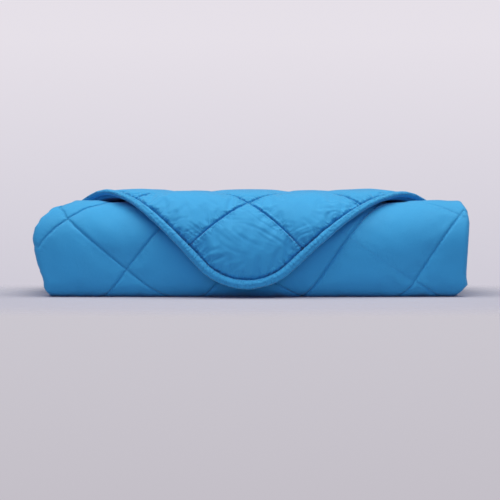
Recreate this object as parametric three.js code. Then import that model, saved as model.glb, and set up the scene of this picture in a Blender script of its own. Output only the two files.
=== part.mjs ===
import * as THREE from 'three';

// A quilted weighted blanket. Its sides are folded in, it is rolled flat, and its last corner lies
// over the top and the front as a flap with a rounded tip. Millimetres, +Z up, X along the roll, the
// flap hangs on the -Y side, and the roll rests on z = 0.
//
// The cloth is worked out flat first: u runs along the roll, s runs along the cloth from the flap's
// corner into the roll, and each flat point is then placed in the roll.

const SQUARE = 110; // side of one quilted square
const ROLL_LENGTH = 590;
const FOLD_BULGE = 8; // how far a folded end stands out past the flat cloth
const BULGE_START = 15; // length beside the flap over which that grows
const PLY = 20.1; // thickness of the doubled cloth
const FLAP_PLY = 13; // thickness of the flap, which is single
const PLY_GAP = 1.4; // between two turns of the roll
const TIGHTEST_BEND = 3; // outer radius of the innermost bends
const TIGHTEST_CREASE = 0.4; // inner radius of the tight bends
const INNER_TURNS = 2;
const CORE_END = 34; // y at which the innermost run ends

const BINDING_WIDTH = 12;
const BINDING_THICKNESS = 11;
const BINDING_DEPTH = 7; // of the binding's middle under the flap's highest level
const SEAM_GAP = 0.3; // between the quilt's edge and the binding

const CORNER_RADIUS = 80; // of the quilt's rounded corner, at the binding's seam
const CORNER = { u: -9.5, s: 21 }; // where the flap's two straight edges would meet
const FLAP_LEAN = 43; // degrees between the flap's right edge and the roll's axis
const BODY_TURN = 10.6; // degrees by which the quilting turns between the flap and the roll's front
const TURN_FROM = 330; // s at which that turning starts
const TURN_TO = 700;
const SHIFT = { u: 17, s: -70 }; // how the squares ease over the back and the underside
const CURL = 0.00023; // radians a millimetre by which they turn further towards the right end
const CURL_CENTRE = 655; // s about which that happens

// The cloth's runs, from the flap inwards. face is the way its outer face looks, at is where that face
// lies, bend is the outer radius of the bend that follows, ply its thickness, sink its seams' depth.
const OUTER_RUNS = [
  { face: 'front', at: -122, bend: 77, ply: FLAP_PLY, sink: 5 },
  { face: 'top', at: 143.5, bend: 70, ply: FLAP_PLY, sink: 5 },
  { face: 'back', at: 106, bend: 36, ply: PLY, sink: 4.5 },
  { face: 'bottom', at: 0, bend: 20, ply: PLY, sink: 0 },
  { face: 'front', at: -106, bend: 62, ply: PLY, sink: 4 },
  { face: 'top', at: 128, bend: 48, ply: PLY, sink: 4 },
];
const FLAP_START = -30; // z of the cloth's s = 0, below the flap's rounded tip

// How far the folded ends draw in from the roll's full length, at each height.
const END_SHAPE = [
  { z: 0, left: 16, right: 3 },
  { z: 8, left: 9, right: 0 },
  { z: 22, left: 11, right: 1 },
  { z: 58, left: 3, right: 1 },
  { z: 80, left: 0, right: 0 },
  { z: 92, left: 2, right: 0 },
  { z: 104, left: 6, right: 0 },
  { z: 117, left: 14, right: 0 },
  { z: 128, left: 38, right: 6 },
  { z: 144, left: 48, right: 18 },
];
const DRAW_FROM = 140; // distance from the middle at which the ends start to draw in
const DRAW_POWER = 1.5;
const DRAW_START = 260; // s at which the drawing in starts: the flap keeps its own width
const DRAW_FULL = 380;
const END_WAVE = 3; // unevenness of the hidden turns' ends, inwards
const END_WAVE_LENGTH = 295;

// The flap stands off the roll beside its edges: lift is the height, centre and reach are along s.
const FLAP_LIFT = {
  left: { lift: 9.5, centre: 190, reach: 105 },
  right: { lift: 4, centre: 200, reach: 100 },
  fade: 120, // distance from the edge over which the lift dies out
};
const PLAN_TAPER = 0.07; // share of the depth lost at the ends

// At its ends the roll is lower at the back, by drop of its height, and a little higher in front, by
// rise. from and to are distances from the middle; the back begins between the two values of y.
const END_SLOPE = {
  left: { drop: 0.165, rise: 0, from: 182, to: 250 },
  right: { drop: 0.165, rise: 0.03, from: 200, to: 268 },
};
const SLOPE_FRONT = -55;
const SLOPE_BACK = 25;

// Mesh fineness
const SQUARE_STEPS = [0, 0.07, 0.2, 0.4, 0.6, 0.8, 0.93]; // of one square, closer beside its seams
const PILLOW_POWER = 0.45;
const BEND_STEPS = 5;
const TIGHT_BEND_STEPS = 2; // of a bend whose radius is under TIGHT_BEND
const TIGHT_BEND = 10;
const RUN_STEP = 34;
const COLUMNS = [0, 0.38, 0.6, 0.7, 0.77, 0.83, 0.89, 0.95, 1]; // of the cloth's half width, each side
const CORNER_STEPS = 8;
const RIM_STEPS = [0.15, 0.5, 0.85]; // depths of the folded end's rounding
const SIDE_STEPS = [0.3, 0.5, 0.7]; // the same beside the flap, where the side is flat
const BINDING_SIDES = 10;
const BINDING_STEP = 14;
const ON_LINE = 1e-6; // nearer than this to a line counts as on it
const NEAR = 0.01; // the same for points that were worked out
const SNAP = 1.6; // a mesh point this near to the cloth's edge is moved onto it
const QUILTED_TO = 905; // s past which the cloth is hidden and left plain
const QUILTED_FADE = 45; // over which the quilting dies out there

const HALF = ROLL_LENGTH / 2 - FOLD_BULGE; // half width of the flat cloth
const radians = THREE.MathUtils.degToRad;
const { lerp, clamp, smoothstep } = THREE.MathUtils;

// ---- the cloth's way through the roll ----

const TRAVEL = {
  front: { along: [0, 1], inward: [1, 0] },
  top: { along: [1, 0], inward: [0, -1] },
  back: { along: [0, -1], inward: [-1, 0] },
  bottom: { along: [-1, 0], inward: [0, 1] },
};

function allRuns() {
  const runs = OUTER_RUNS.map((run) => ({ ...run }));
  const perTurn = 4;
  for (let i = 0; i < INNER_TURNS * perTurn; i += 1) {
    const outside = runs[runs.length - perTurn];
    const { inward } = TRAVEL[outside.face];
    runs.push({
      face: outside.face,
      at: outside.at + (inward[0] + inward[1]) * (outside.ply + PLY_GAP),
      bend: Math.max(outside.bend - PLY - PLY_GAP, TIGHTEST_BEND),
      ply: PLY,
      sink: 0,
    });
  }
  return runs;
}

// Where two neighbouring runs would meet, as [y, z].
function cornerOf(run, next) {
  const upright = run.face === 'front' || run.face === 'back';
  return upright ? [run.at, next.at] : [next.at, run.at];
}

// One face of the cloth as a list of pieces, each a straight run or a bend.
function facePieces(runs, isInner) {
  const rows = runs.map((run) => {
    const { inward } = TRAVEL[run.face];
    const depth = isInner ? run.ply : 0;
    return { ...run, at: run.at + (inward[0] + inward[1]) * depth };
  });
  const pieces = [];
  let from = [rows[0].at, FLAP_START];
  rows.forEach((row, i) => {
    const { along } = TRAVEL[row.face];
    const next = rows[i + 1];
    if (!next) {
      pieces.push({ from, to: [CORE_END, row.at] });
      return;
    }
    const thick = Math.max(row.ply, next.ply);
    const radius = isInner ? Math.max(row.bend - thick, TIGHTEST_CREASE) : row.bend;
    const corner = cornerOf(row, next);
    const out = TRAVEL[next.face].along;
    const start = corner.map((c, k) => c - radius * along[k]);
    const centre = start.map((c, k) => c + radius * out[k]);
    pieces.push({ from, to: start });
    pieces.push({ centre, radius, along, out });
    from = corner.map((c, k) => c + radius * out[k]);
  });
  return pieces;
}

function pieceLength(piece) {
  if (piece.centre) return (piece.radius * Math.PI) / 2;
  return Math.hypot(piece.to[0] - piece.from[0], piece.to[1] - piece.from[1]);
}

function pointOnPiece(piece, share) {
  if (!piece.centre) return piece.from.map((c, k) => lerp(c, piece.to[k], share));
  const angle = (share * Math.PI) / 2;
  return piece.centre.map(
    (c, k) => c + piece.radius * (piece.along[k] * Math.sin(angle) - piece.out[k] * Math.cos(angle)),
  );
}

const RUNS = allRuns();
const OUTER_FACE = facePieces(RUNS, false);
const INNER_FACE = facePieces(RUNS, true);
const STARTS = [0];
OUTER_FACE.forEach((piece) => STARTS.push(STARTS[STARTS.length - 1] + pieceLength(piece)));
const CLOTH_LENGTH = STARTS[STARTS.length - 1];

// The piece of the path that holds s, and how far along it s lies.
function locate(s) {
  let index = 0;
  while (index < OUTER_FACE.length - 1 && s > STARTS[index + 1]) index += 1;
  return { index, share: (s - STARTS[index]) / pieceLength(OUTER_FACE[index]) };
}

// A run's value at s, blended over the bend between two runs.
function runValue(name, s) {
  const { index, share } = locate(s);
  const run = RUNS[Math.floor(index / 2)];
  if (index % 2 === 0) return run[name];
  return lerp(run[name], RUNS[Math.floor(index / 2) + 1][name], smoothstep(share, 0, 1));
}

// ---- the quilting on the flat cloth ----

const LEAN = radians(FLAP_LEAN);
const EDGE_RIGHT = { u: Math.cos(LEAN), s: Math.sin(LEAN) };
const EDGE_LEFT = { u: -Math.sin(LEAN), s: Math.cos(LEAN) };

// The middle line of the quilting bends as the cloth is rolled a little askew.
function middleLine() {
  const step = 5;
  const points = [{ u: 0, s: 0, turn: 0 }];
  for (let t = step; t < CLOTH_LENGTH; t += step) {
    const turn = radians(BODY_TURN) * smoothstep(t - step / 2, TURN_FROM, TURN_TO);
    const last = points[points.length - 1];
    points.push({
      u: last.u - Math.sin(turn) * step,
      s: last.s + Math.cos(turn) * step,
      turn,
    });
  }
  return { step, points };
}
const MIDDLE = middleLine();

// A point of the quilting, a squares along the flap's right edge and b along its left edge.
function onCloth(a, b) {
  const u = CORNER.u + SQUARE * (a * EDGE_RIGHT.u + b * EDGE_LEFT.u);
  const t = CORNER.s + SQUARE * (a * EDGE_RIGHT.s + b * EDGE_LEFT.s);
  const index = clamp(Math.floor(t / MIDDLE.step), 0, MIDDLE.points.length - 2);
  const low = MIDDLE.points[index];
  const high = MIDDLE.points[index + 1];
  const share = t / MIDDLE.step - index;
  const turn = lerp(low.turn, high.turn, share);
  const ease = smoothstep(t, TURN_FROM, TURN_TO);
  const flatU = lerp(low.u, high.u, share) + u * Math.cos(turn) + SHIFT.u * ease;
  const flatS = lerp(low.s, high.s, share) + u * Math.sin(turn) + SHIFT.s * ease;
  const curl = CURL * flatU * ease;
  return { u: flatU - curl * (flatS - CURL_CENTRE), s: flatS + (curl * flatU) / 2 };
}

// Height of a square's filling between two seams, from 0 at a seam to 1 in the middle.
function pillow(share) {
  return (4 * clamp(share * (1 - share), 0, 0.25)) ** PILLOW_POWER;
}

function fraction(value) {
  return value - Math.floor(value + ON_LINE);
}

// How far a quilted point sinks under its face's highest level, as a share of the seams' depth.
function sinkShare(a, b) {
  const radius = CORNER_RADIUS / SQUARE;
  if (a < radius && b < radius) {
    const fromEdge = Math.max(radius - Math.hypot(radius - a, radius - b), 0);
    return 1 - pillow(Math.min(fromEdge, 0.5));
  }
  return 1 - pillow(fraction(a)) * pillow(fraction(b));
}

// ---- placing the flat cloth in the roll ----

// Distance of a flat point from the flap's two straight edges, inwards.
function edgeDistances(u, s) {
  const du = u - CORNER.u;
  const ds = s - CORNER.s;
  return {
    left: du * EDGE_RIGHT.u + ds * EDGE_RIGHT.s,
    right: du * EDGE_LEFT.u + ds * EDGE_LEFT.s,
  };
}

// How far the flap stands off the roll.
function liftAt(u, s) {
  const distance = edgeDistances(u, s);
  let lift = 0;
  for (const side of ['left', 'right']) {
    const row = FLAP_LIFT[side];
    const along = 1 - smoothstep(Math.abs(s - row.centre) / row.reach, 0, 1);
    const across = 1 - smoothstep(Math.max(distance[side], 0), 0, FLAP_LIFT.fade);
    lift += row.lift * along * across;
  }
  return lift;
}

function drawnIn(side, z) {
  const next = END_SHAPE.findIndex((row) => row.z > z);
  if (next < 0) return END_SHAPE[END_SHAPE.length - 1][side];
  if (next === 0) return END_SHAPE[0][side];
  const low = END_SHAPE[next - 1];
  const high = END_SHAPE[next];
  return lerp(low[side], high[side], smoothstep(z, low.z, high.z));
}

// Where a flat point lies along the roll.
function alongRoll(u, s, z) {
  const side = u < 0 ? 'left' : 'right';
  const strength = smoothstep(s, DRAW_START, DRAW_FULL);
  const hidden = smoothstep(s, QUILTED_TO, QUILTED_TO + SQUARE);
  const wave = hidden * END_WAVE * (1 + Math.sin((s / END_WAVE_LENGTH) * 2 * Math.PI + Math.sign(u)));
  const share = Math.max((Math.abs(u) - DRAW_FROM) / (HALF - DRAW_FROM), 0) ** DRAW_POWER;
  return u - Math.sign(u) * share * (strength * drawnIn(side, z) + wave);
}

// The rolled place of a flat point at a depth under its outer face, bulge past the folded end.
function place(u, s, depth, bulge = 0) {
  const { index, share } = locate(s);
  const outer = pointOnPiece(OUTER_FACE[index], share);
  const inner = pointOnPiece(INNER_FACE[index], share);
  const thickness = Math.hypot(inner[0] - outer[0], inner[1] - outer[1]);
  const under = (depth - liftAt(u, s)) / thickness;
  const y = lerp(outer[0], inner[0], under);
  const z = lerp(outer[1], inner[1], under);
  const x = alongRoll(u, s, outer[1]) + Math.sign(u) * bulge;
  const towardsEnd = Math.abs(x / (ROLL_LENGTH / 2)) ** 4;
  const slope = END_SLOPE[x < 0 ? 'left' : 'right'];
  const atEnd = smoothstep(Math.abs(x), slope.from, slope.to);
  const atBack = smoothstep(y, SLOPE_FRONT, SLOPE_BACK);
  return new THREE.Vector3(
    x,
    y * (1 - PLAN_TAPER * towardsEnd),
    z * (1 + atEnd * lerp(slope.rise, -slope.drop, atBack)),
  );
}

// ---- flat meshes of the cloth, as [u, s] polygons inside its outline ----

// The cloth's outline, anticlockwise from its far left corner: down the left fold, round the flap's
// corner, and up the right fold.
function outline() {
  const left = (HALF + CORNER.u) / -EDGE_LEFT.u;
  const right = (HALF - CORNER.u) / EDGE_RIGHT.u;
  const points = [
    { u: -HALF, s: CLOTH_LENGTH },
    { u: -HALF, s: CORNER.s + left * EDGE_LEFT.s },
  ];
  for (let i = 0; i <= CORNER_STEPS; i += 1) {
    const angle = (i / CORNER_STEPS) * (Math.PI / 2);
    const a = (1 - Math.cos(angle)) * CORNER_RADIUS;
    const b = (1 - Math.sin(angle)) * CORNER_RADIUS;
    points.push({
      u: CORNER.u + b * EDGE_LEFT.u + a * EDGE_RIGHT.u,
      s: CORNER.s + b * EDGE_LEFT.s + a * EDGE_RIGHT.s,
    });
  }
  points.push({ u: HALF, s: CORNER.s + right * EDGE_RIGHT.s });
  points.push({ u: HALF, s: CLOTH_LENGTH });
  return points;
}
const OUTLINE = outline();

// Signed distance of a flat point from the line through two others: positive on its left, 0 on it.
function leftOf(point, from, to) {
  const du = to.u - from.u;
  const ds = to.s - from.s;
  const distance = (du * (point.s - from.s) - ds * (point.u - from.u)) / Math.hypot(du, ds);
  return Math.abs(distance) < ON_LINE ? 0 : distance;
}

function mixed(p, q, share) {
  const point = {};
  for (const name of Object.keys(p)) point[name] = lerp(p[name], q[name], share);
  return point;
}

// The part of a polygon on the left of each of some lines.
function clipped(polygon, lines) {
  return lines.reduce((kept, [from, to]) => kept.flatMap((p, i) => {
    const q = kept[(i + 1) % kept.length];
    const here = leftOf(p, from, to);
    const there = leftOf(q, from, to);
    const result = here >= 0 ? [p] : [];
    if (here * there < 0) result.push(mixed(p, q, here / (here - there)));
    return result;
  }), polygon);
}

// A flat point that lies close beside one of the lines, moved onto it.
function snapped(point, lines) {
  return lines.reduce((p, [from, to]) => {
    const distance = leftOf(p, from, to);
    if (Math.abs(distance) > SNAP) return p;
    const length = Math.hypot(to.u - from.u, to.s - from.s);
    return {
      ...p,
      u: p.u + (distance * (to.s - from.s)) / length,
      s: p.s - (distance * (to.u - from.u)) / length,
    };
  }, point);
}

const OUTLINE_LINES = OUTLINE.map((point, i) => [point, OUTLINE[(i + 1) % OUTLINE.length]]);

// Triangles between two rows of points that run the same way, the second on the first's left.
function zipRows(first, second, keyOf) {
  const triangles = [];
  let i = 0;
  let j = 0;
  while (i < first.length - 1 || j < second.length - 1) {
    const firstEnded = i === first.length - 1;
    const secondEnded = j === second.length - 1;
    if (secondEnded || (!firstEnded && keyOf(first[i + 1]) <= keyOf(second[j + 1]))) {
      triangles.push([first[i], first[i + 1], second[j]]);
      i += 1;
    } else {
      triangles.push([first[i], second[j + 1], second[j]]);
      j += 1;
    }
  }
  return triangles;
}

// A flat mesh whose equal points are shared.
class FlatMesh {
  constructor() {
    this.points = [];
    this.triangles = [];
    this.known = new Map();
  }

  add(point) {
    const key = `${Math.round(point.u * 1000)},${Math.round(point.s * 1000)}`;
    if (!this.known.has(key)) {
      this.known.set(key, this.points.length);
      this.points.push(point);
    }
    return this.known.get(key);
  }

  addPolygon(polygon) {
    const corners = polygon.map((point) => this.add(point)).filter((id, i, all) => id !== all.at(i - 1));
    for (let i = 1; i < corners.length - 1; i += 1) {
      this.triangles.push([corners[0], corners[i], corners[i + 1]]);
    }
  }

  // The points round the mesh's outside, anticlockwise, from the point nearest to a given one.
  rim(start) {
    const directed = new Set(this.triangles.flatMap(([a, b, c]) => [`${a},${b}`, `${b},${c}`, `${c},${a}`]));
    const following = new Map();
    for (const edge of directed) {
      const [from, to] = edge.split(',');
      if (!directed.has(`${to},${from}`)) following.set(Number(from), Number(to));
    }
    const distance = (id) => Math.hypot(this.points[id].u - start.u, this.points[id].s - start.s);
    const first = [...following.keys()].reduce((best, id) => (distance(id) < distance(best) ? id : best));
    const ids = [first];
    while (following.get(ids.at(-1)) !== first) ids.push(following.get(ids.at(-1)));
    return ids;
  }
}

// Places along the cloth at which its plain rows of points lie.
function rowPlaces(from) {
  const places = [];
  OUTER_FACE.forEach((piece, i) => {
    const bendSteps = piece.radius < TIGHT_BEND ? TIGHT_BEND_STEPS : BEND_STEPS;
    const steps = piece.centre ? bendSteps : Math.max(Math.ceil(pieceLength(piece) / RUN_STEP), 1);
    for (let k = 0; k < steps; k += 1) places.push(lerp(STARTS[i], STARTS[i + 1], k / steps));
  });
  places.push(CLOTH_LENGTH);
  return places.filter((s) => s > from);
}

function plainRow(s) {
  const left = COLUMNS.slice(1).reverse().map((share) => -share);
  return [...left, ...COLUMNS].map((share) => ({ u: share * HALF, s }));
}

// The outer face: quilted squares where it shows, plain rows where it is inside the roll.
function outerMesh() {
  const mesh = new FlatMesh();
  const quiltedEnd = [{ u: HALF, s: QUILTED_TO }, { u: -HALF, s: QUILTED_TO }];
  const lines = [...OUTLINE_LINES, quiltedEnd];
  const steps = [];
  for (let square = 0; square < QUILTED_TO / SQUARE; square += 1) {
    SQUARE_STEPS.forEach((share) => steps.push(square + share));
  }
  const corner = (a, b) => snapped({ ...onCloth(a, b), a, b }, lines);
  for (let i = 0; i < steps.length - 1; i += 1) {
    for (let j = 0; j < steps.length - 1; j += 1) {
      const [a, nextA] = [steps[i], steps[i + 1]];
      const [b, nextB] = [steps[j], steps[j + 1]];
      const polygon = [corner(nextA, b), corner(nextA, nextB), corner(a, nextB), corner(a, b)];
      mesh.addPolygon(clipped(polygon, lines));
    }
  }
  const rim = mesh.rim(quiltedEnd[1]);
  const turn = rim.findIndex((id) => Math.abs(mesh.points[id].u - HALF) < NEAR
    && Math.abs(mesh.points[id].s - QUILTED_TO) < NEAR);
  let row = [...rim.slice(turn), rim[0]].reverse().map((id) => mesh.points[id]);
  for (const s of rowPlaces(QUILTED_TO + SNAP)) {
    const next = plainRow(s);
    zipRows(row, next, (point) => point.u).forEach((triangle) => mesh.addPolygon(triangle));
    row = next;
  }
  return mesh;
}

function innerMesh() {
  const mesh = new FlatMesh();
  let row = plainRow(0);
  for (const s of rowPlaces(0)) {
    const next = plainRow(s);
    zipRows(row, next, (point) => point.u).forEach((triangle) => {
      mesh.addPolygon(clipped(triangle, OUTLINE_LINES));
    });
    row = next;
  }
  return mesh;
}

// ---- the pieces ----

function solid(positions, triangles) {
  const geometry = new THREE.BufferGeometry();
  const flat = positions.flatMap((point) => point.toArray());
  geometry.setAttribute('position', new THREE.Float32BufferAttribute(flat, 3));
  geometry.setIndex(triangles.flat());
  geometry.computeVertexNormals();
  return geometry;
}

function thicknessAt(s) {
  const { index, share } = locate(s);
  const outer = pointOnPiece(OUTER_FACE[index], share);
  const inner = pointOnPiece(INNER_FACE[index], share);
  return Math.hypot(inner[0] - outer[0], inner[1] - outer[1]);
}

// How far round the outline a point on it lies.
function outlinePlace(point) {
  let passed = 0;
  for (const [from, to] of OUTLINE_LINES) {
    const length = Math.hypot(to.u - from.u, to.s - from.s);
    const along = ((point.u - from.u) * (to.u - from.u) + (point.s - from.s) * (to.s - from.s)) / length;
    const beside = Math.abs(leftOf(point, from, to));
    if (beside < NEAR && along > -NEAR && along < length - NEAR) return passed + along;
    passed += length;
  }
  return 0;
}

function quiltGeometry() {
  const outer = outerMesh();
  const inner = innerMesh();
  const positions = [];
  const addAll = (points) => points.map((point) => positions.push(point) - 1);

  const sinkOf = (point) => {
    if (point.a === undefined) return 0;
    const fade = 1 - smoothstep(point.s, QUILTED_TO - QUILTED_FADE, QUILTED_TO);
    return runValue('sink', point.s) * sinkShare(point.a, point.b) * fade;
  };
  const outerIds = addAll(outer.points.map((point) => place(point.u, point.s, sinkOf(point))));
  const innerIds = addAll(inner.points.map((point) => place(point.u, point.s, thicknessAt(point.s))));
  const triangles = [
    ...outer.triangles.map((corners) => corners.map((id) => outerIds[id])),
    ...inner.triangles.map(([a, b, c]) => [innerIds[a], innerIds[c], innerIds[b]]),
  ];

  // The side between the two faces, in rings from the outer face to the inner one.
  const farLeft = OUTLINE[0];
  const ringOf = (mesh, ids) => {
    const ring = mesh.rim(farLeft).map((id) => ({ id: ids[id], place: outlinePlace(mesh.points[id]) }));
    return [...ring, { ...ring[0], place: Infinity }];
  };
  const innerRim = inner.rim(farLeft).map((id) => inner.points[id]);
  const foldStart = { left: OUTLINE[1].s, right: OUTLINE.at(-2).s };
  const rings = RIM_STEPS.map((rimShare, step) => {
    const ring = innerRim.map((point) => {
      const onFold = Math.abs(Math.abs(point.u) - HALF) < NEAR;
      const past = point.s - (point.u < 0 ? foldStart.left : foldStart.right);
      const round = Math.sqrt(1 - (2 * rimShare - 1) ** 2);
      const bulge = onFold ? FOLD_BULGE * smoothstep(past, 0, BULGE_START) * round : 0;
      const isRounded = onFold && past > NEAR;
      const top = isRounded ? 0 : runValue('sink', point.s);
      const depth = lerp(top, thicknessAt(point.s), isRounded ? rimShare : SIDE_STEPS[step]);
      const [id] = addAll([place(point.u, point.s, depth, bulge)]);
      return { id, place: outlinePlace(point) };
    });
    return [...ring, { ...ring[0], place: Infinity }];
  });
  const levels = [ringOf(outer, outerIds), ...rings, ringOf(inner, innerIds)];
  for (let i = 0; i < levels.length - 1; i += 1) {
    const band = zipRows(levels[i + 1], levels[i], (point) => point.place);
    band.forEach((triangle) => triangles.push(triangle.map((point) => point.id)));
  }
  return solid(positions, triangles);
}

// Stations along the binding: a point on the quilt's edge and the flat direction away from the quilt.
function bindingStations() {
  const reach = SEAM_GAP + BINDING_WIDTH;
  const lengths = {
    left: (HALF + CORNER.u - reach * EDGE_RIGHT.u) / -EDGE_LEFT.u,
    right: (HALF - CORNER.u + reach * EDGE_LEFT.u) / EDGE_RIGHT.u,
  };
  const at = (a, b, outA, outB) => ({
    u: CORNER.u + a * EDGE_RIGHT.u + b * EDGE_LEFT.u,
    s: CORNER.s + a * EDGE_RIGHT.s + b * EDGE_LEFT.s,
    outU: outA * EDGE_RIGHT.u + outB * EDGE_LEFT.u,
    outS: outA * EDGE_RIGHT.s + outB * EDGE_LEFT.s,
  });
  const stations = [];
  const leftSteps = Math.ceil((lengths.left - CORNER_RADIUS) / BINDING_STEP);
  for (let i = 0; i < leftSteps; i += 1) {
    stations.push(at(0, lerp(lengths.left, CORNER_RADIUS, i / leftSteps), -1, 0));
  }
  for (let i = 0; i <= CORNER_STEPS; i += 1) {
    const angle = (i / CORNER_STEPS) * (Math.PI / 2);
    const out = [-Math.cos(angle), -Math.sin(angle)];
    stations.push(at(CORNER_RADIUS * (1 + out[0]), CORNER_RADIUS * (1 + out[1]), ...out));
  }
  const rightSteps = Math.ceil((lengths.right - CORNER_RADIUS) / BINDING_STEP);
  for (let i = 1; i <= rightSteps; i += 1) {
    stations.push(at(lerp(CORNER_RADIUS, lengths.right, i / rightSteps), 0, 0, -1));
  }
  return stations;
}

function bindingGeometry() {
  const stations = bindingStations();
  const positions = [];
  for (const station of stations) {
    for (let k = 0; k < BINDING_SIDES; k += 1) {
      const angle = (k / BINDING_SIDES) * 2 * Math.PI;
      const out = SEAM_GAP + (BINDING_WIDTH / 2) * (1 + Math.cos(angle));
      const depth = BINDING_DEPTH - (BINDING_THICKNESS / 2) * Math.sin(angle);
      positions.push(place(station.u + out * station.outU, station.s + out * station.outS, depth));
    }
  }
  const triangles = [];
  const id = (row, k) => row * BINDING_SIDES + (k % BINDING_SIDES);
  for (let row = 0; row < stations.length - 1; row += 1) {
    for (let k = 0; k < BINDING_SIDES; k += 1) {
      triangles.push([id(row, k), id(row + 1, k), id(row, k + 1)]);
      triangles.push([id(row, k + 1), id(row + 1, k), id(row + 1, k + 1)]);
    }
  }
  const last = stations.length - 1;
  for (let k = 1; k < BINDING_SIDES - 1; k += 1) {
    triangles.push([id(0, 0), id(0, k), id(0, k + 1)]);
    triangles.push([id(last, 0), id(last, k + 1), id(last, k)]);
  }
  return solid(positions, triangles);
}

function piece(name, geometry, look) {
  const mesh = new THREE.Mesh(geometry, new THREE.MeshStandardMaterial(look));
  mesh.name = name;
  return mesh;
}

const blanket = new THREE.Group();
blanket.add(piece('quilt', quiltGeometry(), { color: 0x3f93cf, roughness: 0.72, metalness: 0 }));
blanket.add(piece('edge_binding', bindingGeometry(), { color: 0x3c8ccb, roughness: 0.66, metalness: 0 }));

// The origin is the middle of the whole shape's box, at its foot.
const box = new THREE.Box3().setFromObject(blanket);
const middle = box.getCenter(new THREE.Vector3());
blanket.position.set(-middle.x, -middle.y, -box.min.z);

export default blanket;
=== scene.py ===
"""A rolled weighted blanket, dressed around its frame.

The quilt is worked out as flat cloth first. u runs along the roll and s runs along the cloth, from the
flap's corner into the roll. a and b count quilted squares along the flap's two straight edges. Each
flat point is then placed in the roll. Flat sizes are in millimetres, and meshes are in metres.
"""

import math

import bpy
import numpy as np
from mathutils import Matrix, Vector


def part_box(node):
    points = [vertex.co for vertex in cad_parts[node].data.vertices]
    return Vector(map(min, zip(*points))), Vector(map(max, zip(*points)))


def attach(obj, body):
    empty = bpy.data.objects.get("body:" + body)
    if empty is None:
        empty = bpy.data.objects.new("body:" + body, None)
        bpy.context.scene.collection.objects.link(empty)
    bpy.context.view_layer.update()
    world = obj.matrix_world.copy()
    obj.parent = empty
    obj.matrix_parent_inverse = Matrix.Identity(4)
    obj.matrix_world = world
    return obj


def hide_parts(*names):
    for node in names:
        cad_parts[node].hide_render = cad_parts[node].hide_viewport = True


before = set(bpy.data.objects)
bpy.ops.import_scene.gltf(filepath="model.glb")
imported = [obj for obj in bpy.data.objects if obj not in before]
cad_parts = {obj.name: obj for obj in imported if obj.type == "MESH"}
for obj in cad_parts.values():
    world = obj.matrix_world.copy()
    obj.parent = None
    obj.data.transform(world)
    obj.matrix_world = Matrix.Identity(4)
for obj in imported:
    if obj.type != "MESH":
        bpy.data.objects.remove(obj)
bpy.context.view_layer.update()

bl_info = {
    "name": "Rolled weighted blanket",
    "version": (1, 0, 0),
    "blender": (4, 5, 0),
    "location": "3D View > Sidebar > Blanket",
    "description": "Quilt, bound edge, stitching and stage of a rolled weighted blanket",
    "category": "Object",
}

MM = 0.001
BODY = "root"

# ---- the roll, as the frame has it ----

FRAME_LOW, FRAME_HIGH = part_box("quilt")
SQUARE = 110.0
ROLL_LENGTH = (FRAME_HIGH.x - FRAME_LOW.x) / MM
FOLD_BULGE = 8.0
BULGE_START = 15.0  # how far past the flap the folded ends reach their full roundness
HALF = ROLL_LENGTH / 2 - FOLD_BULGE
PLY = 20.1
FLAP_PLY = 13.0
PLY_GAP = 1.4
TIGHTEST_BEND = 3.0
TIGHTEST_CREASE = 0.4
INNER_TURNS = 2
RUNS_PER_TURN = 4
CORE_END = 34.0
FLAP_START = -30.0
ROLL_SHIFT_Y = 0.15

BINDING_WIDTH = 12.0
BINDING_THICKNESS = 11.0
BINDING_DEPTH = 7.0
SEAM_GAP = 0.3

CORNER_RADIUS = 80.0
CORNER_U = -9.5
CORNER_S = 21.0
FLAP_LEAN = math.radians(43)
BODY_TURN = math.radians(10.6)
TURN_FROM = 330.0
TURN_TO = 700.0
SHIFT_U = 17.0
SHIFT_S = -70.0
CURL = 0.00023  # radians a millimetre by which the squares turn further towards the right end
CURL_CENTRE = 655.0

# The cloth's runs, from the flap inwards: face, where its outer face lies, outer radius of the bend
# that follows, ply's thickness, depth of its seams.
OUTER_RUNS = [
    ("front", -122.0, 77.0, FLAP_PLY, 5.0),
    ("top", 143.5, 70.0, FLAP_PLY, 5.0),
    ("back", 106.0, 36.0, PLY, 4.5),
    ("bottom", 0.0, 20.0, PLY, 0.0),
    ("front", -106.0, 62.0, PLY, 4.0),
    ("top", 128.0, 48.0, PLY, 4.0),
]

# How far the folded ends draw in at each height: z, left end, right end.
END_SHAPE = np.array([
    (0, 15, 9), (8, 11, 2), (14, 11, -2), (21, 11, 0), (34, 6, 0), (48, 1, -1), (64, -2, -2),
    (80, -4, -3), (92, -2, -4), (104, 4, -5), (117, 16, -4), (128, 46, 1), (144, 58, 10),
], float)
DRAW_FROM = 140.0
DRAW_POWER = 1.5
DRAW_START = 260.0
DRAW_FULL = 380.0
END_WAVE = 3.0
END_WAVE_LENGTH = 295.0

# How the flap stands off the roll beside its edges: lift, centre and reach along s.
FLAP_LIFT = {"left": (3.8, 185.0, 100.0), "right": (0.6, 200.0, 100.0)}
LIFT_FADE = 120.0
LEAN = 12.5  # how far the flap's corner leans out from the roll
LEAN_FROM = 150.0
LEAN_POWER = 1.3
PLAN_TAPER = 0.07  # how much narrower the roll is at its ends, seen from above
PLAN_TAPER_POWER = 4

# The ends' slope: drop at the back, rise in front, and the distances between which it grows.
END_SLOPE = {"left": (0.165, 0.033, 165.0, 245.0), "right": (0.2, 0.03, 178.0, 256.0)}
SLOPE_FRONT = -55.0
SLOPE_BACK = 25.0

QUILTED_TO = 905.0
QUILTED_FADE = 45.0

# ---- fineness of the meshes ----

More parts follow.
